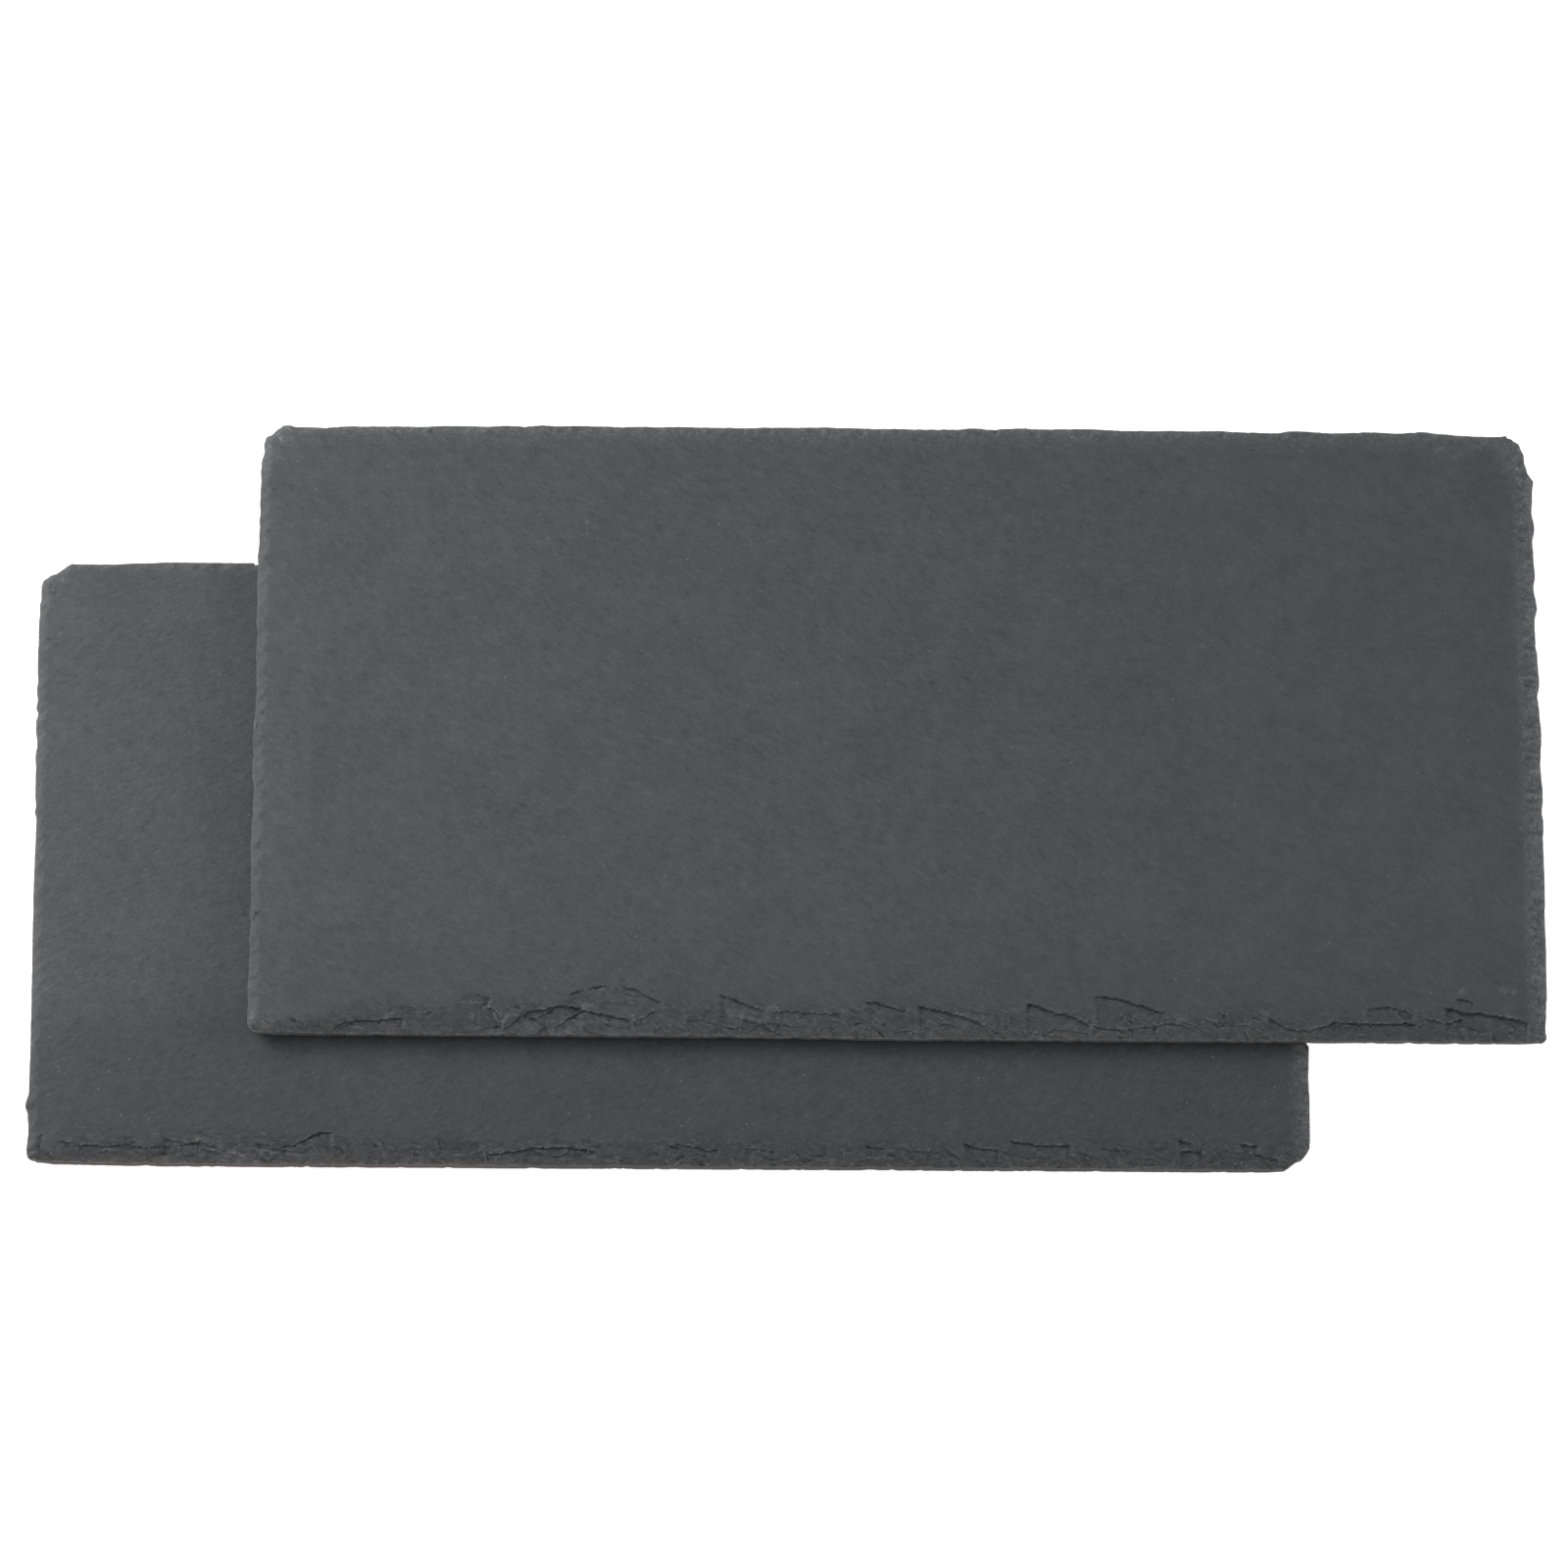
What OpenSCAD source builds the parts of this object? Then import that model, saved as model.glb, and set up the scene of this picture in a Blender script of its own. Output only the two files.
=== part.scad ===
// A pair of natural slate serving boards, laid one on the other and offset to the right and back.
// Each board is split slate with hand-dressed edges and stands on four self-adhesive foam feet.
// The frame's origin is the middle of the pair's footprint on the table: +X right, +Y back, +Z up.

/* [Slate boards] */
// Length of a board, along X
board_length = 300; // [240:5:400]
// Width of a board, along Y
board_width = 148; // [120:1:200]
// Thickness of a board
board_thickness = 5; // [4:0.5:8]
// Most that a hand-cut corner strays from the true rectangle
corner_stray = 1.5; // [0:0.1:2]
// Longest leg of a clipped corner
corner_clip = 11; // [6:0.5:14]

/* [Dressed edges] */
// Reach of the longest flake scar, in from the front edge
front_reach = 11.5; // [8:0.5:18]
// Reach of the largest chip, in from the right edge
right_reach = 3.8; // [1.5:0.1:8]
// Reach of the largest chip, in from the back edge
back_reach = 2.5; // [1.5:0.1:8]
// Reach of the largest chip, in from the left edge
left_reach = 2.2; // [1.5:0.1:8]
// How far below the top the flake scars of the lower board's front break out
lower_front_drop = 1.5; // [1.2:0.1:3]
// How far below the top the flake scars of the upper board's front break out
upper_front_drop = 2.8; // [1.2:0.1:3]
// How far below the top the chips of the right, back and left edges break out
side_drop = 1.8; // [1.5:0.1:2.6]
// Rise of the step where a scar breaks through a layer of the slate
step_rise = 0.6; // [0.3:0.1:0.9]
// Deepest bite of the chips into the outline of the underside
rim_nibble = 0.6; // [0:0.1:1.4]
// Most that a hand-cut side bows out between its corners
side_bow = 0.6; // [0:0.1:1.5]

/* [Stack] */
// How far the upper board lies to the right of the lower one
upper_shift_x = 52.8; // [0:0.1:80]
// How far the upper board lies behind the lower one
upper_shift_y = 30.4; // [0:0.1:40]

/* [Feet] */
// Diameter of a foam foot
foot_diameter = 12; // [8:0.5:16]
// Height of a foam foot
foot_height = 2; // [1.4:0.1:3]
// Rounding of a foot's lower rim
foot_round = 0.5; // [0.2:0.1:1]
// Clear distance between an upper foot and the dressed edge of the board it stands on
foot_seat_margin = 1.5; // [0.5:0.1:6]
// Thickness of the adhesive disc that holds a foot
adhesive_thickness = 0.2; // [0.1:0.05:0.4]
// How much smaller the adhesive disc's radius is than the foot's
adhesive_margin = 0.5; // [0.2:0.1:1.5]

/* [Hidden] */

// The two boards. A table that differs between them holds the lower board's row first.
LOWER = 0;
UPPER = 1;

// Corners and sides run anticlockwise from the front left, and side s runs from corner s to corner s + 1.
FRONT_LEFT = 0;
FRONT_RIGHT = 1;
BACK_RIGHT = 2;
BACK_LEFT = 3;
FRONT = 0;
CORNER_SIGNS = [[-1, -1], [1, -1], [1, 1], [-1, 1]];
SIDE_ALONG = [[1, 0], [0, 1], [-1, 0], [0, -1]];
SIDE_INWARD = [[0, 1], [-1, 0], [0, -1], [1, 0]];
side_reach = [front_reach, right_reach, back_reach, left_reach];
front_drop = [lower_front_drop, upper_front_drop];

// How far each corner strays outward in X and Y, as shares of corner_stray
corner_stray_shares = [
    [[-0.55, -0.7], [-0.65, -0.15], [-0.6, -0.6], [0.05, -0.95]],
    [[0.6, 0.2], [0.85, 0.6], [0.1, 0.1], [0.35, 0.3]]
];
// Legs of each corner's clip along X and Y, as shares of corner_clip
corner_clip_shares = [
    [[0.09, 0.1], [0.55, 0.48], [0.3, 0.35], [0.64, 0.66]],
    [[0.16, 0.16], [0.08, 0.1], [0.5, 1], [0.55, 0.68]]
];
// How far each clip bulges out of its straight line, as a share of its shorter leg
corner_bulge_shares = [
    [0.25, 0.16, 0.25, 0.17],
    [0.25, 0.25, 0.2, 0.28]
];
// How far each side bows out at its middle, as a share of side_bow
side_bow_shares = [
    [0, 0, 0.3, 0.6],
    [0, 1, 0.9, 0.8]
];

// Flake scars of the front edge, from left to right: middle and half length as shares of the edge,
// reach as a share of front_reach, and where the scar is deepest, from -1 at its left end to 1 at its right.
front_scar_shares = [
    [
        [0.02, 0.035, 0.5, 0], [0.1, 0.075, 0.62, 0.3], [0.22, 0.065, 0.78, 0.3],
        [0.32, 0.05, 0.58, 0], [0.41, 0.07, 0.66, 0.2], [0.53, 0.055, 0.62, -0.3],
        [0.64, 0.065, 0.7, 0], [0.735, 0.05, 0.6, 0.2], [0.8, 0.055, 0.74, 0.4],
        [0.865, 0.04, 0.64, 0], [0.925, 0.055, 0.76, -0.6], [0.98, 0.03, 0.55, 0]
    ],
    [
        [0.03, 0.05, 0.45, 0], [0.09, 0.05, 0.5, 0.2], [0.125, 0.045, 0.7, 0.2],
        [0.175, 0.04, 0.9, 0.3], [0.275, 0.08, 1, 0.05], [0.37, 0.045, 0.9, -0.3],
        [0.42, 0.05, 0.8, 0.2], [0.465, 0.04, 0.8, -0.5], [0.525, 0.06, 0.85, -0.5],
        [0.615, 0.05, 0.8, 0.5], [0.69, 0.068, 0.95, -0.4], [0.77, 0.045, 0.8, -0.3],
        [0.865, 0.065, 0.85, 0.2], [0.932, 0.04, 0.9, 0.1], [0.97, 0.045, 0.8, -0.3]
    ]
];
// Least reach of each side's chips, as a share of its longest
least_reach_shares = [0.45, 0.6, 0.6, 0.6];
// How deep the chips bite into each side's outline, as a share of rim_nibble
side_nibble_shares = [0.25, 1, 0.6, 0.8];
// Where the six rings of a dressed edge lie, as shares of the reach there. The first runs out below
// the underside and the last above the top, and the slab's two faces cut them off.
ring_inset_shares = [0, 0, 0.48, 0.56, 0.93, 1.07];
// How far the inner edge of the lower scars wanders, as a share of the reach there
lower_scar_wander_share = 0.5;
// How much the drop from the top to the broken rim varies, as a share of it
drop_wander_share = 0.3;
// Foot and top of the lower step, as shares of the way from the rim to the foot of the upper step
lower_step_shares = [0.4, 0.6];
// Distance between cuts along an edge, and cuts across a clipped corner
station_pitch = board_length / 120;
CLIP_CUTS = 4;

adhesive_radius = foot_diameter / 2 - adhesive_margin;
stand_height = foot_height + adhesive_thickness;
board_rise = stand_height + board_thickness;
// The feet stand in from the ends and sides, so that all four of the upper board's rest on the lower
// board's flat face, clear of its edge's chips, bites and stray.
foot_clearance = corner_stray + rim_nibble + foot_seat_margin + foot_diameter / 2;
foot_inset_x = max(upper_shift_x + right_reach, left_reach - upper_shift_x) + foot_clearance;
foot_inset_y = max(upper_shift_y + back_reach, front_reach - upper_shift_y) + foot_clearance;
foot_spots = [
    for (signs = CORNER_SIGNS)
        [signs[0] * (board_length / 2 - foot_inset_x), signs[1] * (board_width / 2 - foot_inset_y)]
];

// A repeatable number from 0 to 1 for place i of series s
function scatter(i, s) = let (v = sin(i * 127.1 + s * 311.7) * 43758.5453) v - floor(v);

// A number from 0 to 1 that drifts smoothly from place to place along series s
function drift(i, s) = 0.5 + (sin(37 * i + 53 * s) + sin(61 * i + 97 * s)) / 4;

// From 0 at the ends of a span, through 1 at its deepest point, for u from -1 to 1
function scallop(u, deepest) =
    abs(u) >= 1 ? 0 : sin(90 * (u < deepest ? (u + 1) / (deepest + 1) : (1 - u) / (1 - deepest)));

// Reach of the chips at share u along a side, as a share of the side's longest reach
function reach_share(board, side, u, i) =
    side == FRONT
    ? max(least_reach_shares[side],
          max([for (scar = front_scar_shares[board]) scar[2] * scallop((u - scar[0]) / scar[1], scar[3])]))
    : least_reach_shares[side] + (1 - least_reach_shares[side]) * scatter(i, 7 * side + 3 * board + 1);

// True corner of a board's outline, with its stray
function corner_spot(board, corner) =
    let (signs = CORNER_SIGNS[corner], stray = corner_stray_shares[board][corner])
    [signs[0] * (board_length / 2 + corner_stray * stray[0]),
     signs[1] * (board_width / 2 + corner_stray * stray[1])];

// The leg of a corner's clip that lies along a side
function clip_leg(board, corner, side) =
    corner_clip * corner_clip_shares[board][corner][side % 2];

// Ends of a side between its two clipped corners
function side_start(board, side) =
    corner_spot(board, side) + SIDE_ALONG[side] * clip_leg(board, side, side);
function side_end(board, side) =
    let (corner = (side + 1) % 4) corner_spot(board, corner) - SIDE_ALONG[side] * clip_leg(board, corner, side);

// How far the rings of a corner lie in from the sides that meet there: half of each side's longest reach
function corner_inset(corner, ring_share) =
    let (before = (corner + 3) % 4)
    (SIDE_INWARD[corner] * side_reach[corner] + SIDE_INWARD[before] * side_reach[before]) * ring_share / 2;

// Inset share of a ring at one cut. The inner edge of the lower scars wanders from cut to cut.
function ring_share(ring, i, s) =
    ring_inset_shares[ring]
    + (ring == 2 || ring == 3 ? lower_scar_wander_share * (drift(i, s + 40) - 0.5) : 0);

// Height of a side's broken rim at one cut
function rim_at(board, side, i, s) =
    board_thickness
    - (side == FRONT ? front_drop[board] : side_drop) * (1 + drop_wander_share * (drift(i, s + 60) - 0.5));

// Height of a ring above a rim: run-out, rim, foot and top of the lower step, foot of the upper step, run-out
function ring_height(ring, rim) =
    let (upper_step = board_thickness - step_rise, climb = upper_step - rim)
    [-step_rise, rim, rim + climb * lower_step_shares[0], rim + climb * lower_step_shares[1], upper_step,
     board_thickness + step_rise][ring];

function side_cuts(side) = round((side % 2 == 0 ? board_length : board_width) / station_pitch);

// Points of one ring along a side, from just past its first corner to just before its last
function side_ring(board, side, ring) =
    let (cuts = side_cuts(side), start = side_start(board, side), end = side_end(board, side),
         first = corner_inset(side, 1), last = corner_inset((side + 1) % 4, 1),
         s = 10 * side + 5 * board)
    [
        for (i = [0:cuts])
            let (u = i / cuts,
                 hold = i == 0 || i == cuts ? 0 : 1,
                 along = SIDE_ALONG[side],
                 slide = (first * along * (1 - u) + last * along * u) * ring_share(ring, i, s) * along,
                 reach = side_reach[side] * (hold * reach_share(board, side, u, i) + (1 - hold) / 2),
                 nibble = hold * rim_nibble * side_nibble_shares[side] * scatter(i, s + 80),
                 bow = side_bow * side_bow_shares[board][side] * sin(180 * u),
                 spot = start * (1 - u) + end * u + slide
                        + SIDE_INWARD[side] * (nibble - bow + reach * ring_share(ring, i, s)))
            [spot[0], spot[1], ring_height(ring, rim_at(board, side, i, s))]
    ];

// Points of one ring across the clip of the corner that ends a side, without the clip's ends
function clip_ring(board, side, ring) =
    let (corner = (side + 1) % 4, s = 10 * side + 5 * board + 3,
         from = side_end(board, side), to = side_start(board, corner),
         signs = CORNER_SIGNS[corner],
         legs = [clip_leg(board, corner, 0), clip_leg(board, corner, 1)],
         bulge = min(legs) * corner_bulge_shares[board][corner])
    [
        for (i = [1:CLIP_CUTS - 1])
            let (u = i / CLIP_CUTS,
                 spot = from * (1 - u) + to * u + corner_inset(corner, ring_share(ring, i, s))
                        + signs * bulge * sin(180 * u),
                 rim = rim_at(board, side, i, s) * (1 - u) + rim_at(board, corner, i, s) * u)
            [spot[0], spot[1], ring_height(ring, rim)]
    ];

function board_ring(board, ring) =
    [for (side = [0:3]) each concat(side_ring(board, side, ring), clip_ring(board, side, ring))];

// The middle of the pair's footprint, in the lower board's own frame
underside_spots = concat(
    board_ring(LOWER, 0),
    [for (spot = board_ring(UPPER, 0)) spot + [upper_shift_x, upper_shift_y, 0]]
);
pair_middle = [
    (min([for (spot = underside_spots) spot[0]]) + max([for (spot = underside_spots) spot[0]])) / 2,
    (min([for (spot = underside_spots) spot[1]]) + max([for (spot = underside_spots) spot[1]])) / 2
];

// Moves a board's own parts from its middle, at its feet's soles, to its place in the stack
module in_stack(board) {
    place = board == UPPER ? [upper_shift_x, upper_shift_y, board_rise] : [0, 0, 0];
    translate([place[0] - pair_middle[0], place[1] - pair_middle[1], place[2]]) children();
}

// The flaked edge all round a board, as one loft through rings of points from below the slab to above it
module dressed_edge(board) {
    ring_count = len(ring_inset_shares);
    rings = [for (ring = [0:ring_count - 1]) board_ring(board, ring)];
    cuts = len(rings[0]);
    walls = [
        for (ring = [0:ring_count - 2])
            for (i = [0:cuts - 1])
                let (a = ring * cuts + i, b = ring * cuts + (i + 1) % cuts)
                each [[a, a + cuts, b], [b, a + cuts, b + cuts]]
    ];
    bottom = [for (i = [0:cuts - 1]) i];
    top = [for (i = [cuts - 1:-1:0]) (ring_count - 1) * cuts + i];
    polyhedron(points = [for (ring = rings) each ring], faces = concat([bottom], walls, [top]));
}

// One board: a slab between two split faces, cut all round by the dressed edge
module slate(board) {
    color([0.29, 0.3, 0.31])
        in_stack(board)
            translate([0, 0, stand_height])
                intersection() {
                    translate([-board_length, -board_width, 0])
                        cube([2 * board_length, 2 * board_width, board_thickness]);
                    dressed_edge(board);
                }
}

// A foam foot: a flat disc with a rounded lower rim
module foot(board, corner) {
    radius = foot_diameter / 2;
    color([0.1, 0.1, 0.1])
        in_stack(board)
            translate(foot_spots[corner])
                rotate_extrude($fn = 96)
                    union() {
                        square([radius - foot_round, foot_height]);
                        translate([0, foot_round]) square([radius, foot_height - foot_round]);
                        translate([radius - foot_round, foot_round]) circle(foot_round, $fn = 48);
                    }
}

// The disc of clear adhesive between a foot and the slate
module adhesive(board, corner) {
    color([0.75, 0.75, 0.72])
        in_stack(board)
            translate([foot_spots[corner][0], foot_spots[corner][1], foot_height])
                cylinder(h = adhesive_thickness, r = adhesive_radius, $fn = 96);
}

slate(LOWER);  // lower_slate
slate(UPPER);  // upper_slate
foot(LOWER, FRONT_LEFT);  // lower_foot_front_left
foot(LOWER, FRONT_RIGHT);  // lower_foot_front_right
foot(LOWER, BACK_RIGHT);  // lower_foot_back_right
foot(LOWER, BACK_LEFT);  // lower_foot_back_left
foot(UPPER, FRONT_LEFT);  // upper_foot_front_left
foot(UPPER, FRONT_RIGHT);  // upper_foot_front_right
foot(UPPER, BACK_RIGHT);  // upper_foot_back_right
foot(UPPER, BACK_LEFT);  // upper_foot_back_left
adhesive(LOWER, FRONT_LEFT);  // lower_adhesive_front_left
adhesive(LOWER, FRONT_RIGHT);  // lower_adhesive_front_right
adhesive(LOWER, BACK_RIGHT);  // lower_adhesive_back_right
adhesive(LOWER, BACK_LEFT);  // lower_adhesive_back_left
adhesive(UPPER, FRONT_LEFT);  // upper_adhesive_front_left
adhesive(UPPER, FRONT_RIGHT);  // upper_adhesive_front_right
adhesive(UPPER, BACK_RIGHT);  // upper_adhesive_back_right
adhesive(UPPER, BACK_LEFT);  // upper_adhesive_back_left
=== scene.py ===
"""Looks for a pair of natural slate serving boards: split faces, hand-dressed edges, foam feet and a plain studio."""

import math
from types import SimpleNamespace

import bmesh
import bpy
import numpy as np
from bpy.props import FloatProperty, FloatVectorProperty, IntProperty, PointerProperty
from mathutils import Matrix, Vector


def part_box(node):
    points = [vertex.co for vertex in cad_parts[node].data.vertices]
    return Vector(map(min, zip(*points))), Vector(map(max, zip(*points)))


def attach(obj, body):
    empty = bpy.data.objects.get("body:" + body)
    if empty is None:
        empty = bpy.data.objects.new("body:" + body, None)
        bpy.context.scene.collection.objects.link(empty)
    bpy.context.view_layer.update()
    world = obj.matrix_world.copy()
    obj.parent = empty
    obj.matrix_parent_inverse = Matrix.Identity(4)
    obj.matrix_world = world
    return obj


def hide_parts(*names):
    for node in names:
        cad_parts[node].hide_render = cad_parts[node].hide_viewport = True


bl_info = {
    "name": "Slate Serving Boards",
    "version": (1, 0, 0),
    "blender": (4, 5, 0),
    "location": "3D View > Sidebar > Slate boards",
    "description": "Dresses two slate boards, their foam feet and the studio they stand in",
    "category": "Object",
}

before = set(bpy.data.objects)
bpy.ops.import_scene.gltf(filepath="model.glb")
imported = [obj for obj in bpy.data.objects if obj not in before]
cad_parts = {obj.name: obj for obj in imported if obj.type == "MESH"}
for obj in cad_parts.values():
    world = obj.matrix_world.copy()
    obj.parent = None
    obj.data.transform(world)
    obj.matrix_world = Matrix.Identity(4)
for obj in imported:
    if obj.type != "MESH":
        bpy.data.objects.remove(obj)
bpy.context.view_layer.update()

MM = 0.001
BOARDS = ("lower", "upper")
CORNERS = ("front_left", "front_right", "back_right", "back_left")
CORNER_SIGNS = ((-1, -1), (1, -1), (1, 1), (-1, 1))
SIDES = ("front", "right", "back", "left")
SIDE_STEPS = np.array(((1, 0), (0, 1), (-1, 0), (0, -1)), float)

# The photograph is 1600 pixels wide and high, and the camera's sensor 36 mm wide
PHOTO_SIZE = 1600
SENSOR = 36.0

# Outward stray of each corner in X and Y, the legs of its clip along X and Y, and the clip's bulge, all in mm
CORNER_SHAPES = {
    "lower": (
        (-0.83, -1.05, 1.0, 1.1, 0.25),
        (-0.98, -0.23, 6.0, 5.3, 0.85),
        (-0.75, -0.75, 3.3, 3.9, 0.8),
        (-0.23, -1.43, 7.0, 7.3, 1.2),
    ),
    "upper": (
        (0.9, 0.3, 1.8, 1.8, 0.45),
        (1.28, 0.9, 0.9, 1.1, 0.2),
        (-0.23, -0.12, 5.5, 10.35, 1.6),
        (0.15, 0.75, 6.1, 7.5, 1.7),
    ),
}

# Points of the outlines that show against what lies behind them, in pixels of the photograph.
# A clip is named after the side that it ends.
OUTLINE_MARKS = {
    ("upper", "right"): (
        (1576.5, 1055), (1577, 1029), (1579.3, 1014), (1577, 990), (1579.8, 975), (1576, 958), (1575.4, 936),
        (1576, 914), (1573.7, 860), (1574.4, 843), (1572.6, 832), (1573.7, 817), (1571, 784), (1572, 752), (1570, 730),
        (1568, 714), (1569.8, 703), (1567.8, 671), (1566, 663), (1565, 638), (1567.5, 624), (1564, 603), (1565.5, 590),
        (1564, 573), (1563, 557), (1564.7, 543), (1562, 527), (1562.4, 511), (1563.5, 493),
    ),
    ("upper", "right clip"): (
        (1559.2, 485.5), (1556.5, 476), (1553.8, 462.5), (1549.7, 453.8), (1543, 449), (1537, 446.2),
    ),
    ("upper", "back"): (
        (1534, 446), (1520, 446), (1504, 445.5), (1467, 442.8), (1452, 441), (1424, 442.4), (1400, 441), (1363, 442),
        (1317, 440), (1302, 442), (1262, 441), (1247, 439.7), (1213, 440), (1146, 439.7), (1112, 438), (1053, 438),
        (1045, 436), (1011, 438.5), (993, 436.8), (977, 438.5), (921, 438), (888, 437.6), (844, 435), (798, 436),
        (761, 437), (692, 435.4), (672, 436), (644, 434.8), (636, 436), (594, 434), (571, 434.8), (553, 432.6),
        (536, 435.7), (517, 433.4), (498, 435.4), (468, 434), (428, 435.4), (400, 434.8), (358, 435), (330, 436.8),
        (308, 435.8),
    ),
    ("upper", "back clip"): (
        (287, 436.4), (283, 438.5), (280, 441.5), (277, 444.3), (274, 444.8), (271.5, 447), (270.3, 451.4),
        (268.8, 460), (268, 468),
    ),
    ("upper", "left"): (
        (267.9, 472), (267.5, 480), (266.6, 485), (267.1, 495), (266.3, 510), (266, 515), (266.2, 528), (265.1, 535),
        (265.7, 541), (264.9, 550), (265.1, 556), (263.7, 570), (263.9, 586), (263.2, 602), (263.2, 628), (262.4, 639),
        (263.3, 650), (261.7, 672), (262.4, 681), (262.1, 699), (262.9, 706), (261.3, 725), (259.4, 745), (259.4, 751),
        (256.7, 758), (258.6, 766), (259.3, 775), (257.9, 785), (258.2, 794), (259.9, 805), (258.6, 833), (257, 845),
        (257.4, 853), (256.3, 867), (257.1, 876), (256.6, 898), (256.9, 920), (255.1, 937), (256.6, 945), (255, 962),
        (255.4, 980), (254.1, 1000), (253.1, 1013), (253.6, 1027), (252.6, 1042),
    ),
    ("lower", "front clip"): ((1314.6, 1193.5), (1321.2, 1188.4), (1328.9, 1184.7), (1333.3, 1179.2)),
    ("lower", "right"): ((1336.6, 1157), (1336.2, 1144), (1336.6, 1129), (1334.9, 1113), (1334.4, 1100), (1335, 1082)),
    ("lower", "back"): (
        (246.8, 573.8), (230.8, 574.2), (214.7, 573.8), (190.6, 574.2), (172.6, 573.8), (154.5, 574.5), (134.4, 574.9),
        (115.4, 575.5), (96.3, 576), (84, 575.8),
    ),
    ("lower", "back clip"): ((66, 580), (59.2, 584.5), (51.1, 588.1), (45.1, 592.1), (41.7, 599.1)),
    ("lower", "left"): (
        (43.1, 610), (43.1, 616), (41.5, 620), (41.5, 632), (38.1, 647), (40.1, 654), (40.1, 662), (36.3, 670.5),
        (38.1, 680), (39.7, 697), (38.1, 710), (39.3, 718), (37.7, 726), (39.7, 731), (37.1, 742), (38.7, 765),
        (37, 774), (37.3, 792), (36.6, 814), (37.5, 826), (36.4, 832), (37.9, 840), (35, 910), (33, 1010), (31.5, 1080),
        (30.2, 1118), (26.4, 1131), (29, 1141), (29.7, 1156), (27.7, 1177),
    ),
}

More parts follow.
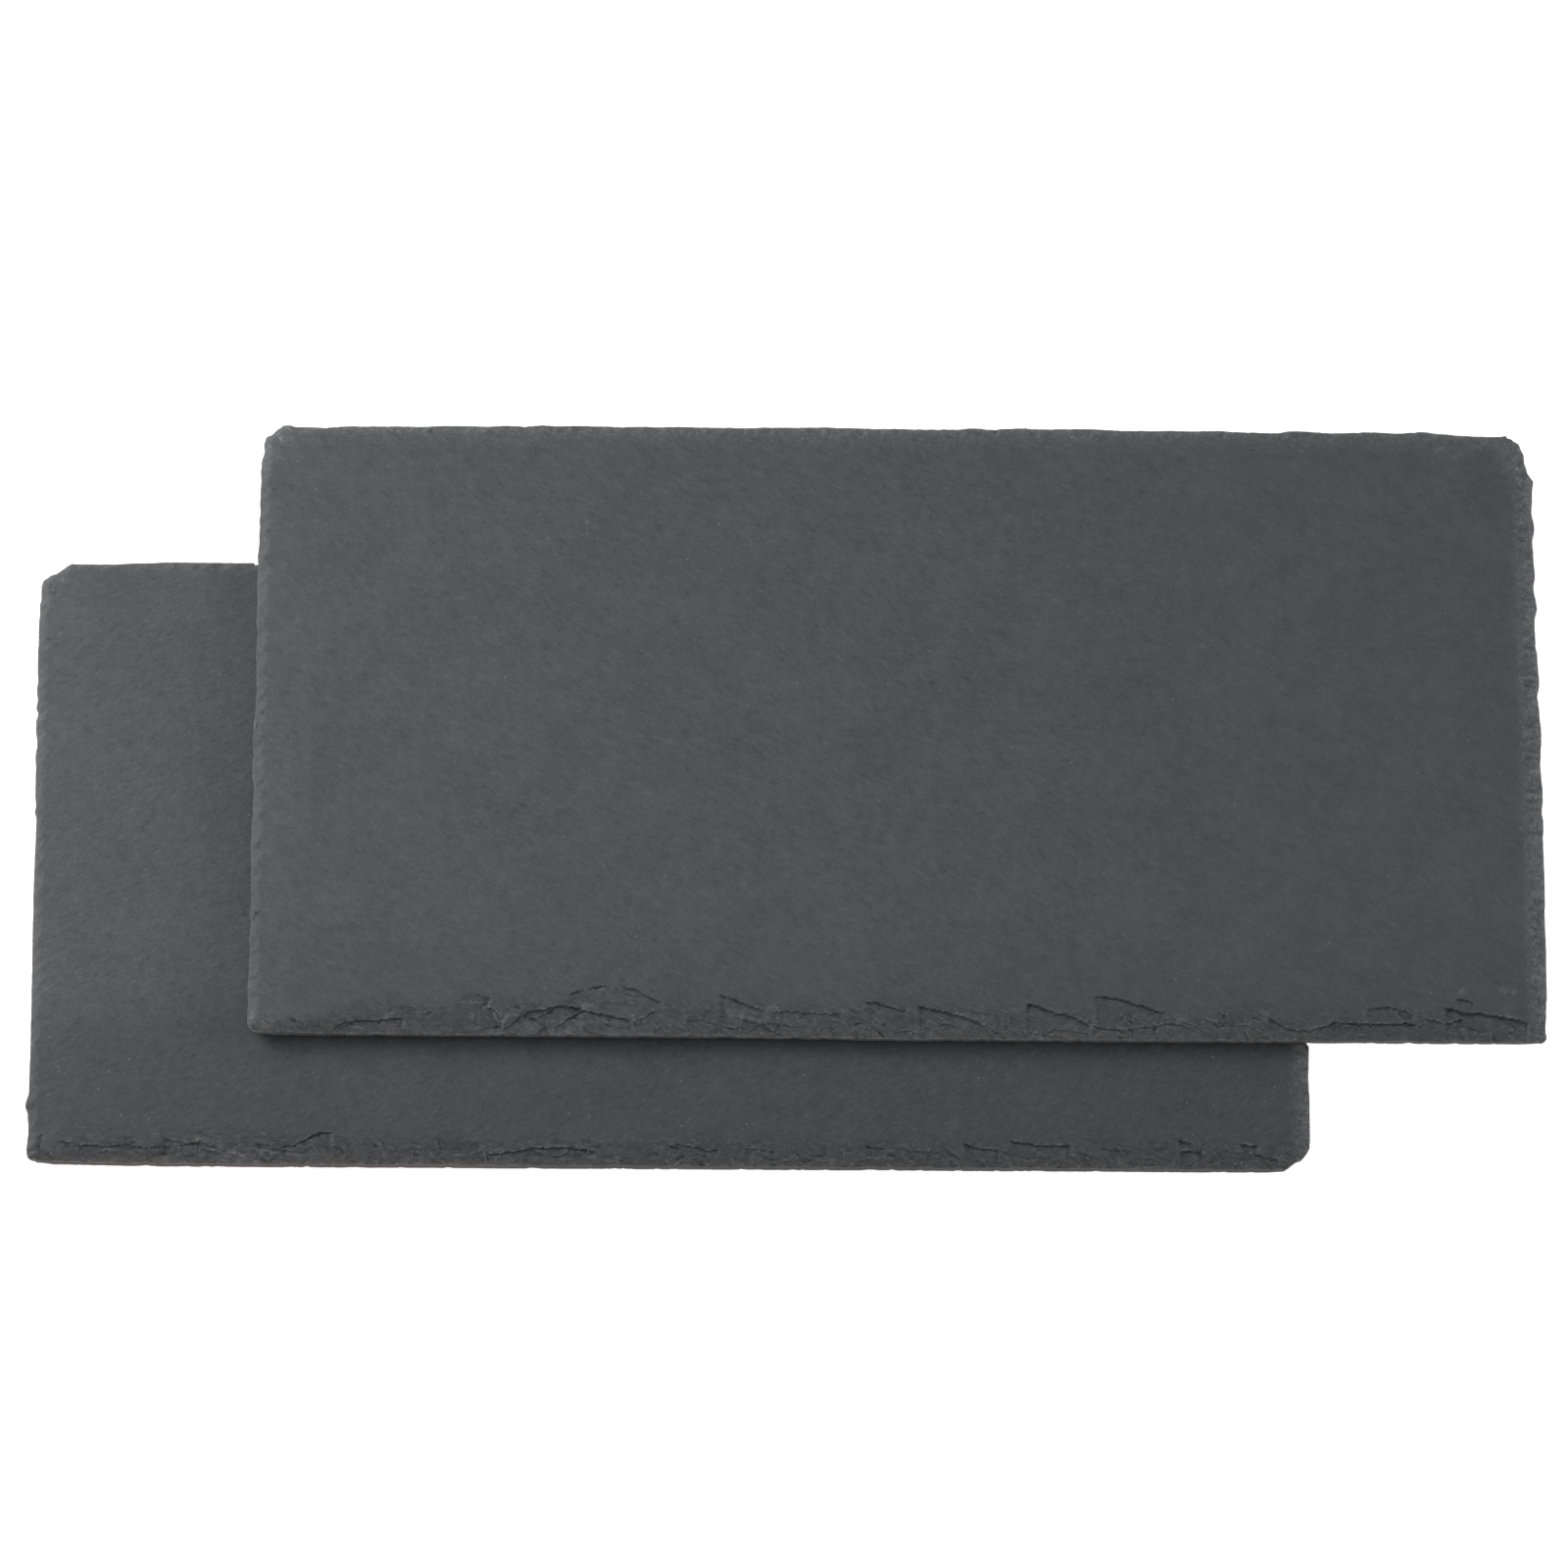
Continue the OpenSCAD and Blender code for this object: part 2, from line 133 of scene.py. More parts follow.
# Upper edges of the flakes broken off along the front, each with the height of its step in mm
# and its points from left to right in pixels of the photograph
FLAKES = {
    "upper": (
        (0.2, ((294, 1038.6), (303, 1042), (310, 1045))),
        (0.9, ((333, 1053.8), (342, 1047.4), (349.5, 1043), (362, 1041), (378, 1040.3), (398, 1039.2),
            (413.5, 1038.5))),
        (0.35, ((339, 1053.3), (347, 1047.4), (356, 1044.8))),
        (0.25, ((405, 1027), (415.5, 1026.7), (428, 1029))),
        (0.25, ((428, 1034), (436, 1032.5), (445, 1031))),
        (0.25, ((466.5, 1011.4), (480, 1013.5), (495, 1016.3), (503, 1018))),
        (0.6, ((495, 1025.7), (505, 1029.5), (507.6, 1032), (509, 1037), (512, 1039.7), (512.5, 1046))),
        (0.7, ((444, 1053.8), (462, 1052), (474.5, 1052.5), (484.7, 1051.2), (495, 1047.4), (505, 1045.6),
            (512, 1047))),
        (0.8, ((512, 1052), (520.4, 1044.8), (529.3, 1037.2), (536, 1032), (546, 1029.5), (556, 1028.3), (568, 1026.2),
            (582, 1025.7), (594, 1028))),
        (0.4, ((529, 1039), (541, 1038.5), (551, 1034.6), (559, 1030.8), (566, 1028.3))),
        (0.8, ((566, 1047.4), (574, 1043.6), (581.6, 1036), (589, 1032), (597, 1029.5), (607, 1032), (622, 1036),
            (638, 1038.5), (645.4, 1042.3))),
        (0.35, ((578, 1016.8), (584, 1013), (594.4, 1010), (607, 1007), (620, 1006), (633, 1006.6), (648, 1009),
            (660, 1017), (679, 1022.7))),
        (0.4, ((645, 1042), (654, 1039), (664.5, 1032), (674, 1031))),
        (0.5, ((732, 1014), (744, 1017.6), (754, 1021.6), (764.5, 1026.7), (775, 1029), (784, 1031.5))),
        (0.35, ((785, 1033), (805, 1031.4), (826, 1033), (846, 1034), (862, 1033))),
        (0.6, ((754, 1057), (766.5, 1049), (775, 1044), (791, 1043.5), (801, 1044.7), (815.5, 1047.8))),
        (0.55, ((852, 1058), (860, 1055), (870.6, 1054), (881, 1054), (891, 1055), (899, 1056), (909, 1053.7),
            (921.6, 1050.6), (934, 1051))),
        (0.5, ((881, 1021.6), (893, 1022), (903, 1025), (915.5, 1028.8), (928, 1032))),
        (0.75, ((934, 1026), (948, 1027.8), (960, 1031), (972.6, 1034), (985, 1037), (995, 1041), (1003, 1045),
            (1013.5, 1050.6), (1023.7, 1056), (1031, 1060))),
        (0.4, ((954, 1040.6), (966.5, 1044), (979, 1048), (987, 1051))),
        (0.8, ((1044, 1022.7), (1056, 1025), (1066.5, 1027.8), (1075.7, 1033), (1087, 1035), (1099, 1038.6),
            (1107, 1043), (1113.5, 1046))),
        (0.5, ((1056, 1054), (1066.5, 1051), (1079, 1049.6), (1089, 1051), (1103, 1054), (1111, 1052))),
        (0.55, ((1113.5, 1045), (1125.7, 1048), (1136, 1049.6), (1146, 1051), (1158, 1049))),
        (0.5, ((1114.5, 1015.5), (1126, 1016.5), (1138, 1018.6), (1152, 1020.6), (1158, 1023.7), (1168.6, 1026),
            (1181, 1031), (1191, 1034))),
        (0.5, ((1140, 1051), (1152, 1049), (1166.5, 1047.6), (1181, 1046), (1191, 1043.5), (1201, 1044), (1211, 1047),
            (1221.6, 1052), (1232, 1057), (1240, 1062))),
        (0.3, ((1203, 1040), (1211, 1043), (1222, 1048), (1234, 1054), (1244, 1060))),
        (0.25, ((1240, 1034), (1247, 1034.6), (1254, 1036))),
        (0.45, ((1262.5, 1044), (1279, 1049), (1289, 1055), (1299, 1061))),
        (0.3, ((1270.6, 1062), (1283, 1060), (1295, 1061))),
        (0.9, ((1291, 1034), (1301, 1041), (1311, 1047), (1320.6, 1051), (1329, 1050), (1336, 1051), (1344, 1048),
            (1354, 1045), (1361, 1042), (1370.6, 1043.5), (1385, 1044), (1397, 1043.5), (1415.5, 1044), (1432, 1043),
            (1448, 1043.5))),
        (0.3, ((1332, 1058), (1340, 1054), (1346, 1052))),
        (0.4, ((1391, 1029), (1405, 1027.8), (1415.5, 1027), (1426, 1029), (1436, 1032), (1446, 1038))),
        (0.5, ((1453, 1038.6), (1464, 1040.7), (1472.6, 1043.5), (1481, 1042.8), (1488, 1039), (1495, 1038))),
        (0.9, ((1471, 1027), (1484, 1028.8), (1492, 1032), (1500.7, 1033), (1509, 1032.7), (1519, 1035.8),
            (1531.5, 1036.5), (1541, 1037.9), (1551, 1040), (1561, 1045))),
        (0.35, ((1484, 1017.8), (1492, 1019), (1500.7, 1021.7), (1507.7, 1025))),
        (0.3, ((1523, 1058), (1531.5, 1061), (1542.8, 1062))),
    ),
    "lower": (
        (0.3, ((36.6, 1163), (41.7, 1159), (47, 1158))),
        (0.5, ((78.7, 1168), (94, 1168), (106.7, 1168.8), (122, 1167.5), (132, 1167), (147.6, 1170.6), (163, 1169.8),
            (173, 1168.8), (188, 1167), (207.5, 1163))),
        (0.3, ((163, 1161.6), (178, 1163.7), (196, 1165), (206, 1162))),
        (0.45, ((140, 1184.6), (152.6, 1180.8), (165.4, 1176.4), (178, 1174.4), (188, 1171))),
        (0.5, ((208.8, 1166.7), (224, 1170.6), (236.8, 1177), (244.5, 1184.6))),
        (0.6, ((285, 1169), (298, 1168), (310.8, 1163), (326, 1155), (341.4, 1156))),
        (0.35, ((392, 1188), (400, 1184), (407.6, 1180.4), (416, 1180))),
        (0.8, ((495, 1176.7), (510.6, 1176.7), (523, 1175), (535, 1172.7), (543, 1170.6), (559.6, 1171.6), (576, 1170),
            (592, 1172), (608.6, 1173.7))),
        (0.5, ((606, 1176), (614.7, 1178.8), (625, 1180.4), (635, 1184), (645, 1188.6))),
        (0.5, ((676, 1189), (684, 1183), (695, 1177.8), (704.5, 1184))),
        (0.5, ((686, 1167.5), (698, 1168), (710.6, 1170), (721, 1173), (735, 1173))),
        (0.45, ((757.6, 1170.6), (770, 1171), (782, 1173), (792, 1174.3))),
        (0.4, ((823, 1190), (835, 1185.3), (849.4, 1184.5), (859.6, 1186))),
        (0.4, ((880, 1167.5), (892, 1170.6), (904.5, 1172))),
        (0.6, ((982, 1165.5), (992, 1169.6), (1000, 1170.8), (1011, 1172.6), (1022, 1173))),
        (0.55, ((1028, 1164), (1044, 1165), (1055, 1168), (1070, 1168.6), (1094.6, 1168.6))),
        (0.45, ((1132, 1172), (1145, 1172.6), (1156, 1175))),
        (0.4, ((1145, 1186), (1154, 1185.8), (1167, 1188))),
        (0.4, ((1200, 1163), (1213, 1166), (1222, 1167.5))),
        (0.7, ((1202.4, 1173), (1215.6, 1174), (1229, 1175.6))),
        (0.6, ((1262, 1167.5), (1275, 1169), (1286, 1168.6))),
        (0.8, ((1277, 1176), (1288, 1179.6), (1301, 1183), (1306, 1185))),
        (0.4, ((1244, 1185), (1257, 1187), (1268, 1189.5))),
    ),
}

# Reach of a front edge's slope as a share of its longest, and the plain stretch at its left end, in mm
FRONT_REACH = {"lower": 0.7, "upper": 0.84}
PLAIN_START = {"lower": 4.0, "upper": 14.0}

# How far each front edge bulges out of the line between its corners, in mm, and where along it the bulge
# begins and is full
FRONT_BULGE = {"lower": (0.8, -0.1, 0.12), "upper": (0.5, 0.42, 0.54)}

# How far beyond the longest reach of the front's scars its fine mesh goes in, and beyond that of the chips, in mm
FRONT_BAND = {"lower": -2.1, "upper": 1.7}
SIDE_BAND = 0.5

# Height above the underside at which the front's and the right's outlines were read, in mm
WALL_HEIGHT = 0.8

# Least reach of a chip along the right, back and left edges, as a share of the largest
LEAST_CHIPS = {"right": 0.7, "back": 0.6, "left": 0.65}

# How pale each side's edge is crushed and painted with light, how far in the paleness reaches, in mm, and how pale its
# arris is
CRUSHED_AND_LIT = {
    "lower": {"front": (0.12, 1.6, 0.0), "right": (1.5, 5.0, 0.5), "back": (0.25, 3.0, 0.8), "left": (0.25, 1.4, 0.35)},
    "upper": {"front": (0.05, 1.0, 0.15), "right": (1.5, 5.4, 0.8), "back": (0.72, 5.0, 0.7), "left": (0.05, 3, 0.25)},
}

# Where the face is bruised to pale crumbs: pixels of the photograph, and the reach in mm
BRUISES = {
    "upper": (
        (258, 1038, 1.3), (270, 1044, 1.5), (504, 1031, 1.0), (508, 1038, 0.8), (585, 1038, 0.9), (592, 1033, 0.8),
        (596, 1026, 0.9), (578, 1050, 1.1), (645, 1036, 0.7), (747, 1034, 1.1), (757, 1035, 1.2), (768, 1036, 1.0),
        (784, 1030, 0.8), (790, 1026, 0.8), (776, 1048, 0.9), (760, 1057, 1.0), (861, 1032, 0.9), (934, 1051, 0.9),
        (1056, 1054, 1.0), (1203, 1041, 1.1), (1291, 1036, 0.9), (1344, 1048, 1.0), (1512, 452, 1.0), (1530, 452, 1.0),
        (1471, 458, 1.4), (1485, 463, 1.0), (1554, 541, 0.7), (1558, 552, 0.8), (1558, 566, 0.8), (1549, 561, 0.6),
        (1558, 583, 0.7), (1559, 640, 0.7), (1558, 660, 0.7), (1558, 676, 0.7), (1564, 994, 0.4), (1565, 1003, 0.5),
        (1564, 1012, 0.5), (1563, 1022, 0.7), (1563, 1034, 0.8), (1562, 1046, 0.7), (1561, 1058, 0.6),
        (1433, 1025, 0.8), (1491, 1013, 0.9), (1519, 1039, 1.0), (1540, 1035, 0.7), (1534, 1011, 0.9),
        (1545, 1013, 0.8),
    ),
    "lower": (
        (142, 1165, 0.9), (178, 1167, 0.9), (190, 1166, 0.9), (201, 1164, 0.9), (213, 1169, 1.0), (224, 1171, 1.2),
        (236, 1176, 1.3), (244, 1183, 1.5), (262, 1187, 1.3), (280, 1188, 1.0), (178, 1188, 0.7), (318, 1188, 1.1),
        (511, 1177, 0.9), (606, 1176, 0.9), (686, 1180, 1.0), (849, 1185, 0.9), (1011, 1173, 0.9), (1145, 1186, 1.0),
        (1310, 1180, 1.0), (1305, 1187, 1.0),
    ),
}

# How the height of a dressed slope falls to the rim: the exponent of its curve
STEEPNESS = {"front": 1.5, "right": 1.15, "back": 1.15, "left": 1.15, "clip": 1.3}

# Reach of a clip's slope as a share of the smaller reach of its two sides
CLIP_REACH = 0.85

# A chip's length as shares of the pitch, how far from its middle it can be deepest, as a share of half its length,
# and how many places along the edge the smoothing of the chips' reach takes in
CHIP_LENGTHS = (0.5, 1.6)
CHIP_LEAN = 0.6
CHIP_SMOOTHING = 19

# Distances in mm over which an edge's bites fade out inwards, over which they fade out at its ends, and to which
# the outermost points read off the photograph still count
BITE_FADE = 3
END_FADE = 1.2
MARK_REACH = 3

# Roughness of the stone: height and size of its largest features in mm, and seed. The front's ledges and grit are
# drawn out along its leaves, the crushed stone's grit only takes away, and the flakes' lines wander in X and in Y.
LEDGES = (0.3, 3.6, 3)
FRONT_GRIT = (0.17, 1.1, 5)
SIDE_GRIT = (0.24, 1.3, 7)
CRUSHED_GRIT = (0.12, 0.9, 79)
FLAKE_WANDER = ((0.35, 1.7, 31), (0.28, 1.3, 37))

# Least height of the dressed face above the underside, and least height that stays above the rim, in mm
LEAST_HEIGHT = 0.25
LEAST_DROP = 0.2

# Steps between the wide rings over the flat face, in mm, each of which merges the stations in pairs. The last repeats.
FACE_STEPS = (1.0, 2.0, 4.0, 4.8)
STATIONS_MERGED = 2 ** len(FACE_STEPS)

# Distance between the fine rings as a share of the pitch: at the outline, and what each mm further in adds to it.
# The wide rings come this close to the middle line of the face, in mm.
RING_STEP, RING_GROWTH = 0.8, 0.03
MIDDLE_GAP = 6

# Distance from a corner over which its fine band takes on the width of its side's, and from a front's ends over which
# its wall comes upright, in mm, and the share of its slant that the wall loses there
CORNER_BLEND = 18
UPRIGHT_AFTER, UPRIGHT_SHARE = 5, 0.85

# Points of the mesh that are closer than this, in metres, are welded
WELD = 0.000002

# Rings of the rim's wall below the outline: share of the rim's height, and how far the ring is drawn in, in mm
WALL_RINGS = ((0.0, 0.42), (0.35, 0.22), (0.7, 0.06))

# Cracks where leaves of the broken front end: size in mm, share of the leaf's thickness, and seed
CRACKS = ((5.0, 1.0, 61), (2.8, 0.8, 67), (1.7, 0.5, 73))

# Rings of the face, from the outline inwards, that can be rusty
RUSTY_RINGS = 14

# What stands out by this much against its neighbours, in mm, is worn light with a painted highlight in full, and what
# lies low by this much is painted with shade in full
WORN_AND_HIGHLIT_BEND = 0.11
SHADED_HOLLOW_BEND = 0.1

# Y from which the rim's wall counts as the front's and where it does so in full, Y in front of which the face can be
# rusty, and X at which the upper front's wall ends its painted light and begins its painted shade, in the board's own
# mm
FRONT_WALL = (-70, -72)
RUSTY_Y = -60
UPPER_PAINTED_LIGHT_END = 92

# Distance between the places at which an edge's shape is held, and width of its pale arris, in mm
PLACE_PITCH = 0.1
ARRIS_WIDTH = 0.5

# Flakes are cut deeper than their steps by this, so that they show at the pitch of the mesh
STEP_SCALE = 1.4

# Turn of the leaves that show on each board's broken front
LEAF_LEAN = {"lower": math.radians(-8), "upper": math.radians(-17)}

# Each board's slate: where its grain is taken from, the turn of its streaks, their depth and the scarps' in mm, the
# strength of its grain and how much of that is missing at the right end, and how much painted shade darkens the face
# near the front, between which distances from it in metres
FINISHES = {
    "lower": {
        "shift": (0.31, 0.12, 0.0),
        "turn": math.radians(30),
        "streaks": 0.2,
        "scarps": 0.04,
        "coarseness": 0.66,
        "calm": 0.0,
        "painted_front_shade": (0.205, 0.044, 0.026),
    },
    "upper": {
        "shift": (0.0, 0.0, 0.0),
        "turn": math.radians(-30),
        "streaks": 0.11,
        "scarps": 0.028,
        "coarseness": 0.57,
        "calm": 0.16,
        "painted_front_shade": (0.07, 0.03, 0.006),
    },
}

# Place, width and height of each lamp, in metres, and the name of the setting with its power
LAMPS = {
    "softbox_left": ((-0.52, 0.29, 0.40), (0.30, 0.40), "key_power"),
    "softbox_side": ((-0.62, 0.02, 0.46), (0.25, 0.30), "side_power"),
    "softbox_right": ((1.6, 0.0, 0.7), (0.8, 0.8), "fill_power"),
    "front_reflector": ((0.0, -1.5, 0.2), (2.4, 0.3), "front_power"),
}
LAMP_AIM = (0, 0, 0.01)

# Width of the floor in metres, and how brightly it glows to the camera
FLOOR_SIZE = 8
FLOOR_GLOW = 0.86


def metres(name, description, default, **limits):
    return FloatProperty(name=name, description=description, default=default, unit="LENGTH", **limits)


def number(name, description, default, **kind):
    return FloatProperty(name=name, description=description, default=default, **kind)


def tint(name, description, default):
    return FloatVectorProperty(name=name, description=description, subtype="COLOR", default=default, min=0, max=1)


class SlateBoardSettings(bpy.types.PropertyGroup):
    """Sizes and finish of the two slates."""

    length: metres("Length", "Length of a board", 0.300, min=0.2, max=0.4)
    width: metres("Width", "Width of a board", 0.148, min=0.1, max=0.2)
    front_reach: metres("Front scars", "Reach of the longest flake scar of the front edge", 0.0115)
    right_reach: metres("Right chips", "Reach of the largest chip of the right edge", 0.0038)
    back_reach: metres("Back chips", "Reach of the largest chip of the back edge", 0.0025)
    left_reach: metres("Left chips", "Reach of the largest chip of the left edge", 0.0024)
    chip_pitch: metres("Chip pitch", "Mean distance between chips along an edge", 0.0048)
    nibble: metres("Nibble", "Deepest bite of a chip into the outline", 0.0005)
    lower_front_drop: metres("Lower front drop", "Height that dressing takes off the lower board's front edge", 0.0015)
    upper_front_drop: metres("Upper front drop", "Height that dressing takes off the upper board's front edge", 0.0028)
    side_drop: metres("Side drop", "Height that dressing takes off the right, back and left edges", 0.0018)
    leaf: metres("Leaf", "Thickness of the leaves that end in cracks on the broken front", 0.0005)
    riven_depth: metres("Riven depth", "Depth of the unevenness of the split face", 0.00014)
    mesh_pitch: metres("Mesh pitch", "Distance between the cuts of the dressed edge", 0.0003)
    seed: IntProperty(name="Seed", description="Seed of the chips that the photograph doesn't show", default=7)
    colour: tint("Slate", "Colour of the split slate", (0.0805, 0.083, 0.0875))
    broken_colour: tint("Broken rim", "Colour of the freshly broken rim", (0.125, 0.1, 0.088))
    # The crushed edge's colour stands for both the crushed stone and painted light along the edges
    crushed_and_lit_colour: tint("Crushed edge", "Colour of the crushed stone along the edges", (0.17, 0.171, 0.174))
    # The dust colour also paints the highlight on worn arrises
    dust_colour: tint("Dust", "Colour of worn arrises, specks and crumbs", (0.26, 0.265, 0.27))
    roughness: number("Roughness", "Roughness of the split face", 0.72, subtype="FACTOR", min=0, max=1)


class FoamFootSettings(bpy.types.PropertyGroup):
    """Shape and finish of the eight stick-on feet."""

    rounding: metres("Rounding", "Rounding of a foot's sole", 0.0005)
    waist: metres("Waist", "How far the die-cut wall is drawn in at half height", 0.00012)
    colour: tint("Foam", "Colour of the foam", (0.018, 0.018, 0.019))
    adhesive_colour: tint("Adhesive", "Colour of the adhesive disc", (0.55, 0.54, 0.5))


class StudioSettings(bpy.types.PropertyGroup):
    """The photograph's camera and the studio's light."""

    elevation: number("Elevation", "Height of the camera above the horizon", math.radians(73.35), subtype="ANGLE")
    roll: number("Roll", "Turn of the camera about its own axis", math.radians(0.319), subtype="ANGLE")
    distance: metres("Distance", "Distance from the camera to the point that it looks at", 2.102)
    lens: number("Lens", "Focal length of the lens, in pixels of the photograph", 9092.0)
    aim: FloatVectorProperty(
        name="Aim",
        description="Point that the camera looks at, from the middle of the lower board",
        size=2,
        default=(0.02632, 0.02074),
        unit="LENGTH",
    )
    key_power: number("Key light", "Power of the softbox behind the left end, in watts", 2.95)
    side_power: number("Side light", "Power of the softbox on the left, in watts", 1.1)
    fill_power: number("Fill light", "Power of the softbox on the right, in watts", 11.0)
    front_power: number("Front light", "Power of the low reflector in front, in watts", 5.0)
    sky: number("Room light", "Strength of the room's even light", 0.285)
    floor_colour: tint("Floor", "Colour of the floor", (0.8, 0.8, 0.79))


class SlateStudio(bpy.types.PropertyGroup):
    """All that a user would change."""

    boards: PointerProperty(type=SlateBoardSettings)
    feet: PointerProperty(type=FoamFootSettings)
    studio: PointerProperty(type=StudioSettings)


def settings():
    return bpy.context.scene.slate_studio


def deselect_all():
    if bpy.context.object and bpy.context.object.mode != "OBJECT":
        bpy.ops.object.mode_set(mode="OBJECT")
    bpy.ops.object.select_all(action="DESELECT")


def board_middle(board):
    """The middle of a board in the frame, in mm: its four feet stand evenly about it."""
    corners = [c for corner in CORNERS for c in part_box(f"{board}_foot_{corner}")]
    return np.array([sum(c[axis] for c in corners) / len(corners) for axis in (0, 1)]) / MM


def board_floor(board):
    """Height of a board's underside, in mm."""
    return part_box(f"{board}_slate")[0].z / MM


def board_thickness(board):
    low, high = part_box(f"{board}_slate")
    return (high.z - low.z) / MM


def camera_axes():
    """The camera's place, and its axes to the right, up and back, in metres in the frame."""
    studio = settings().studio
    tilt, roll = studio.elevation, studio.roll
    back = Vector((0, -math.cos(tilt), math.sin(tilt)))
    right = Vector((1, 0, 0))
    up = Vector((0, math.sin(tilt), math.cos(tilt)))
    turned_right = right * math.cos(roll) + up * math.sin(roll)
    turned_up = up * math.cos(roll) - right * math.sin(roll)
    aim = Vector((*(board_middle("lower") * MM + np.array(studio.aim)), 0))
    return aim + back * studio.distance, turned_right, turned_up, back


def photo_spots(board, pixels, height):
    """Where pixels of the photograph meet heights above a board's underside, all in the board's own mm."""
    place, right, up, back = (np.array(v) for v in camera_axes())
    pixels, lens = np.array(pixels, float), settings().studio.lens
    across = (pixels[:, :1] - PHOTO_SIZE / 2) / lens
    upward = (PHOTO_SIZE / 2 - pixels[:, 1:]) / lens
    rays = across * right + upward * up - back
    reach = ((board_floor(board) + height) * MM - place[2]) / rays[:, 2]
    return (place + rays * reach[:, None])[:, :2] / MM - board_middle(board)


def ease(share):
    """A share from 0 to 1, eased at both ends."""
    return share * share * (3 - 2 * share)


def between(value, start, end):
    """From 0 where a value is at start to 1 where it is at end."""
    return np.clip((value - start) / (end - start), 0, 1)


def patchy(x, y, seed):
    """Smooth noise from 0 to 1 over the plane, with one feature to each whole step."""
    cell_x, cell_y = np.floor(x), np.floor(y)
    part_x, part_y = ease(x - cell_x), ease(y - cell_y)

    def knot(i, j):
        value = np.sin((cell_x + i) * 127.1 + (cell_y + j) * 311.7 + seed * 74.7) * 43758.5453
        return value - np.floor(value)

    near = knot(0, 0) * (1 - part_x) + knot(1, 0) * part_x
    far = knot(0, 1) * (1 - part_x) + knot(1, 1) * part_x
    return near * (1 - part_y) + far * part_y


def rough(x, y, size, seed, octaves=3):
    """Noise from -1 to 1 whose largest features are size mm across."""
    total, weight = 0, 0
    for octave in range(octaves):
        share = 0.5**octave
        scale = 2**octave / size
        total = total + share * (patchy(x * scale, y * scale, seed + 11 * octave) * 2 - 1)
        weight += share
    return total / weight


def relief(x, y, stone):
    """The stone's unevenness in mm at each point: noise of the height, size and seed given."""
    height, size, seed = stone
    return height * rough(x, y, size, seed)


def scallop(u, deepest):
    """From 0 at the ends of a span through 1 at its deepest point, for u from -1 to 1."""
    part = np.where(u < deepest, (u + 1) / (deepest + 1), (1 - u) / (1 - deepest))
    return np.sin(np.pi / 2 * np.clip(part, 0, 1))


class DressedEdge:
    """One straight run of a board's outline, a side or a corner's clip, with its chips."""

    def __init__(self, name, start, end, rim, crushed):
        self.name = name
        self.start = np.array(start, float)
        run = np.array(end, float) - self.start
        self.length = float(np.hypot(*run))
        self.along = run / self.length
        self.inward = np.array((-self.along[1], self.along[0]))
        self.places = np.linspace(0, self.length, max(8, round(self.length / PLACE_PITCH)) + 1)
        self.bite = np.zeros_like(self.places)
        self.reach = np.zeros_like(self.places)
        self.rim = np.full_like(self.places, rim)
        self.steepness = STEEPNESS[name]
        self.crushed = crushed

    def noise(self, size, seed):
        """Noise from -1 to 1 along the edge whose largest features are size mm long."""
        return rough(self.places, self.places * 0, size, seed)

    def measure(self, x, y):
        """Distance along the edge, and in from its outline, whose bites fade out inwards."""
        off_x, off_y = x - self.start[0], y - self.start[1]
        along = off_x * self.along[0] + off_y * self.along[1]
        inward = off_x * self.inward[0] + off_y * self.inward[1]
        return along, inward - np.interp(along, self.places, self.bite) * np.clip(1 - inward / BITE_FADE, 0, 1)

    def take_marks(self, spots, seed, bite=0.0):
        """Takes the outline from points that were read off the photograph, and from the chips' bites beyond them."""
        off = spots - self.start
        along, inward = off @ self.along, off @ self.inward
        order = np.argsort(along)
        along, inward = along[order], inward[order]
        keep = (along > 0) & (along < self.length)
        along, inward = along[keep], inward[keep]
        before = np.clip(np.searchsorted(along, self.places) - 1, 0, len(along) - 2)
        share = np.clip((self.places - along[before]) / np.maximum(along[before + 1] - along[before], 0.01), 0, 1)
        read = inward[before] + (inward[before + 1] - inward[before]) * ease(share)
        shown = (self.places > along[0] - MARK_REACH) & (self.places < along[-1] + MARK_REACH)
        self.bite = np.where(shown, read, bite) + 0.07 * self.noise(1.2, seed)
        self.hold_ends()

    def hold_ends(self):
        """Brings the outline back to the straight run at both ends."""
        ends = np.minimum(self.places, self.length - self.places)
        self.bite = self.bite * np.clip(ends / END_FADE, 0, 1)

    def chip(self, random, pitch, longest, least_share, nibble):
        """Breaks chips of random length, reach and bite out of the edge, one after another."""
        self.reach = np.full_like(self.places, longest * least_share)
        bite = np.zeros_like(self.places)
        at = 0.0
        while at < self.length:
            span = pitch * random.uniform(*CHIP_LENGTHS)
            u = (self.places - at - span / 2) / (span / 2)
            bowl = scallop(u, random.uniform(-CHIP_LEAN, CHIP_LEAN))
            reach = longest * random.uniform(least_share, 1) ** 1.3
            self.reach = np.maximum(self.reach, longest * least_share * 0.6 + reach * bowl)
            bite += nibble * random.uniform(0.1, 1) * bowl
            at += span
        window = np.hanning(CHIP_SMOOTHING)
        padded = np.pad(self.reach, CHIP_SMOOTHING // 2, mode="edge")
        self.reach = np.minimum(np.convolve(padded, window / window.sum(), "valid"), longest)
        return bite


def board_corners(board, insets=(0, 0, 0, 0)):
    """A board's four corners before they are clipped, drawn in from its sides by the insets, in the board's own mm."""
    sizes = settings().boards
    half = np.array((sizes.length, sizes.width)) / MM / 2
    front, right, back, left = insets
    corners = []
    for sign, shape in zip(CORNER_SIGNS, CORNER_SHAPES[board]):
        drawn_in = (right if sign[0] > 0 else left, front if sign[1] < 0 else back)
        corners.append(np.array(sign) * (half + np.array(shape[:2]) - np.array(drawn_in)))
    return corners


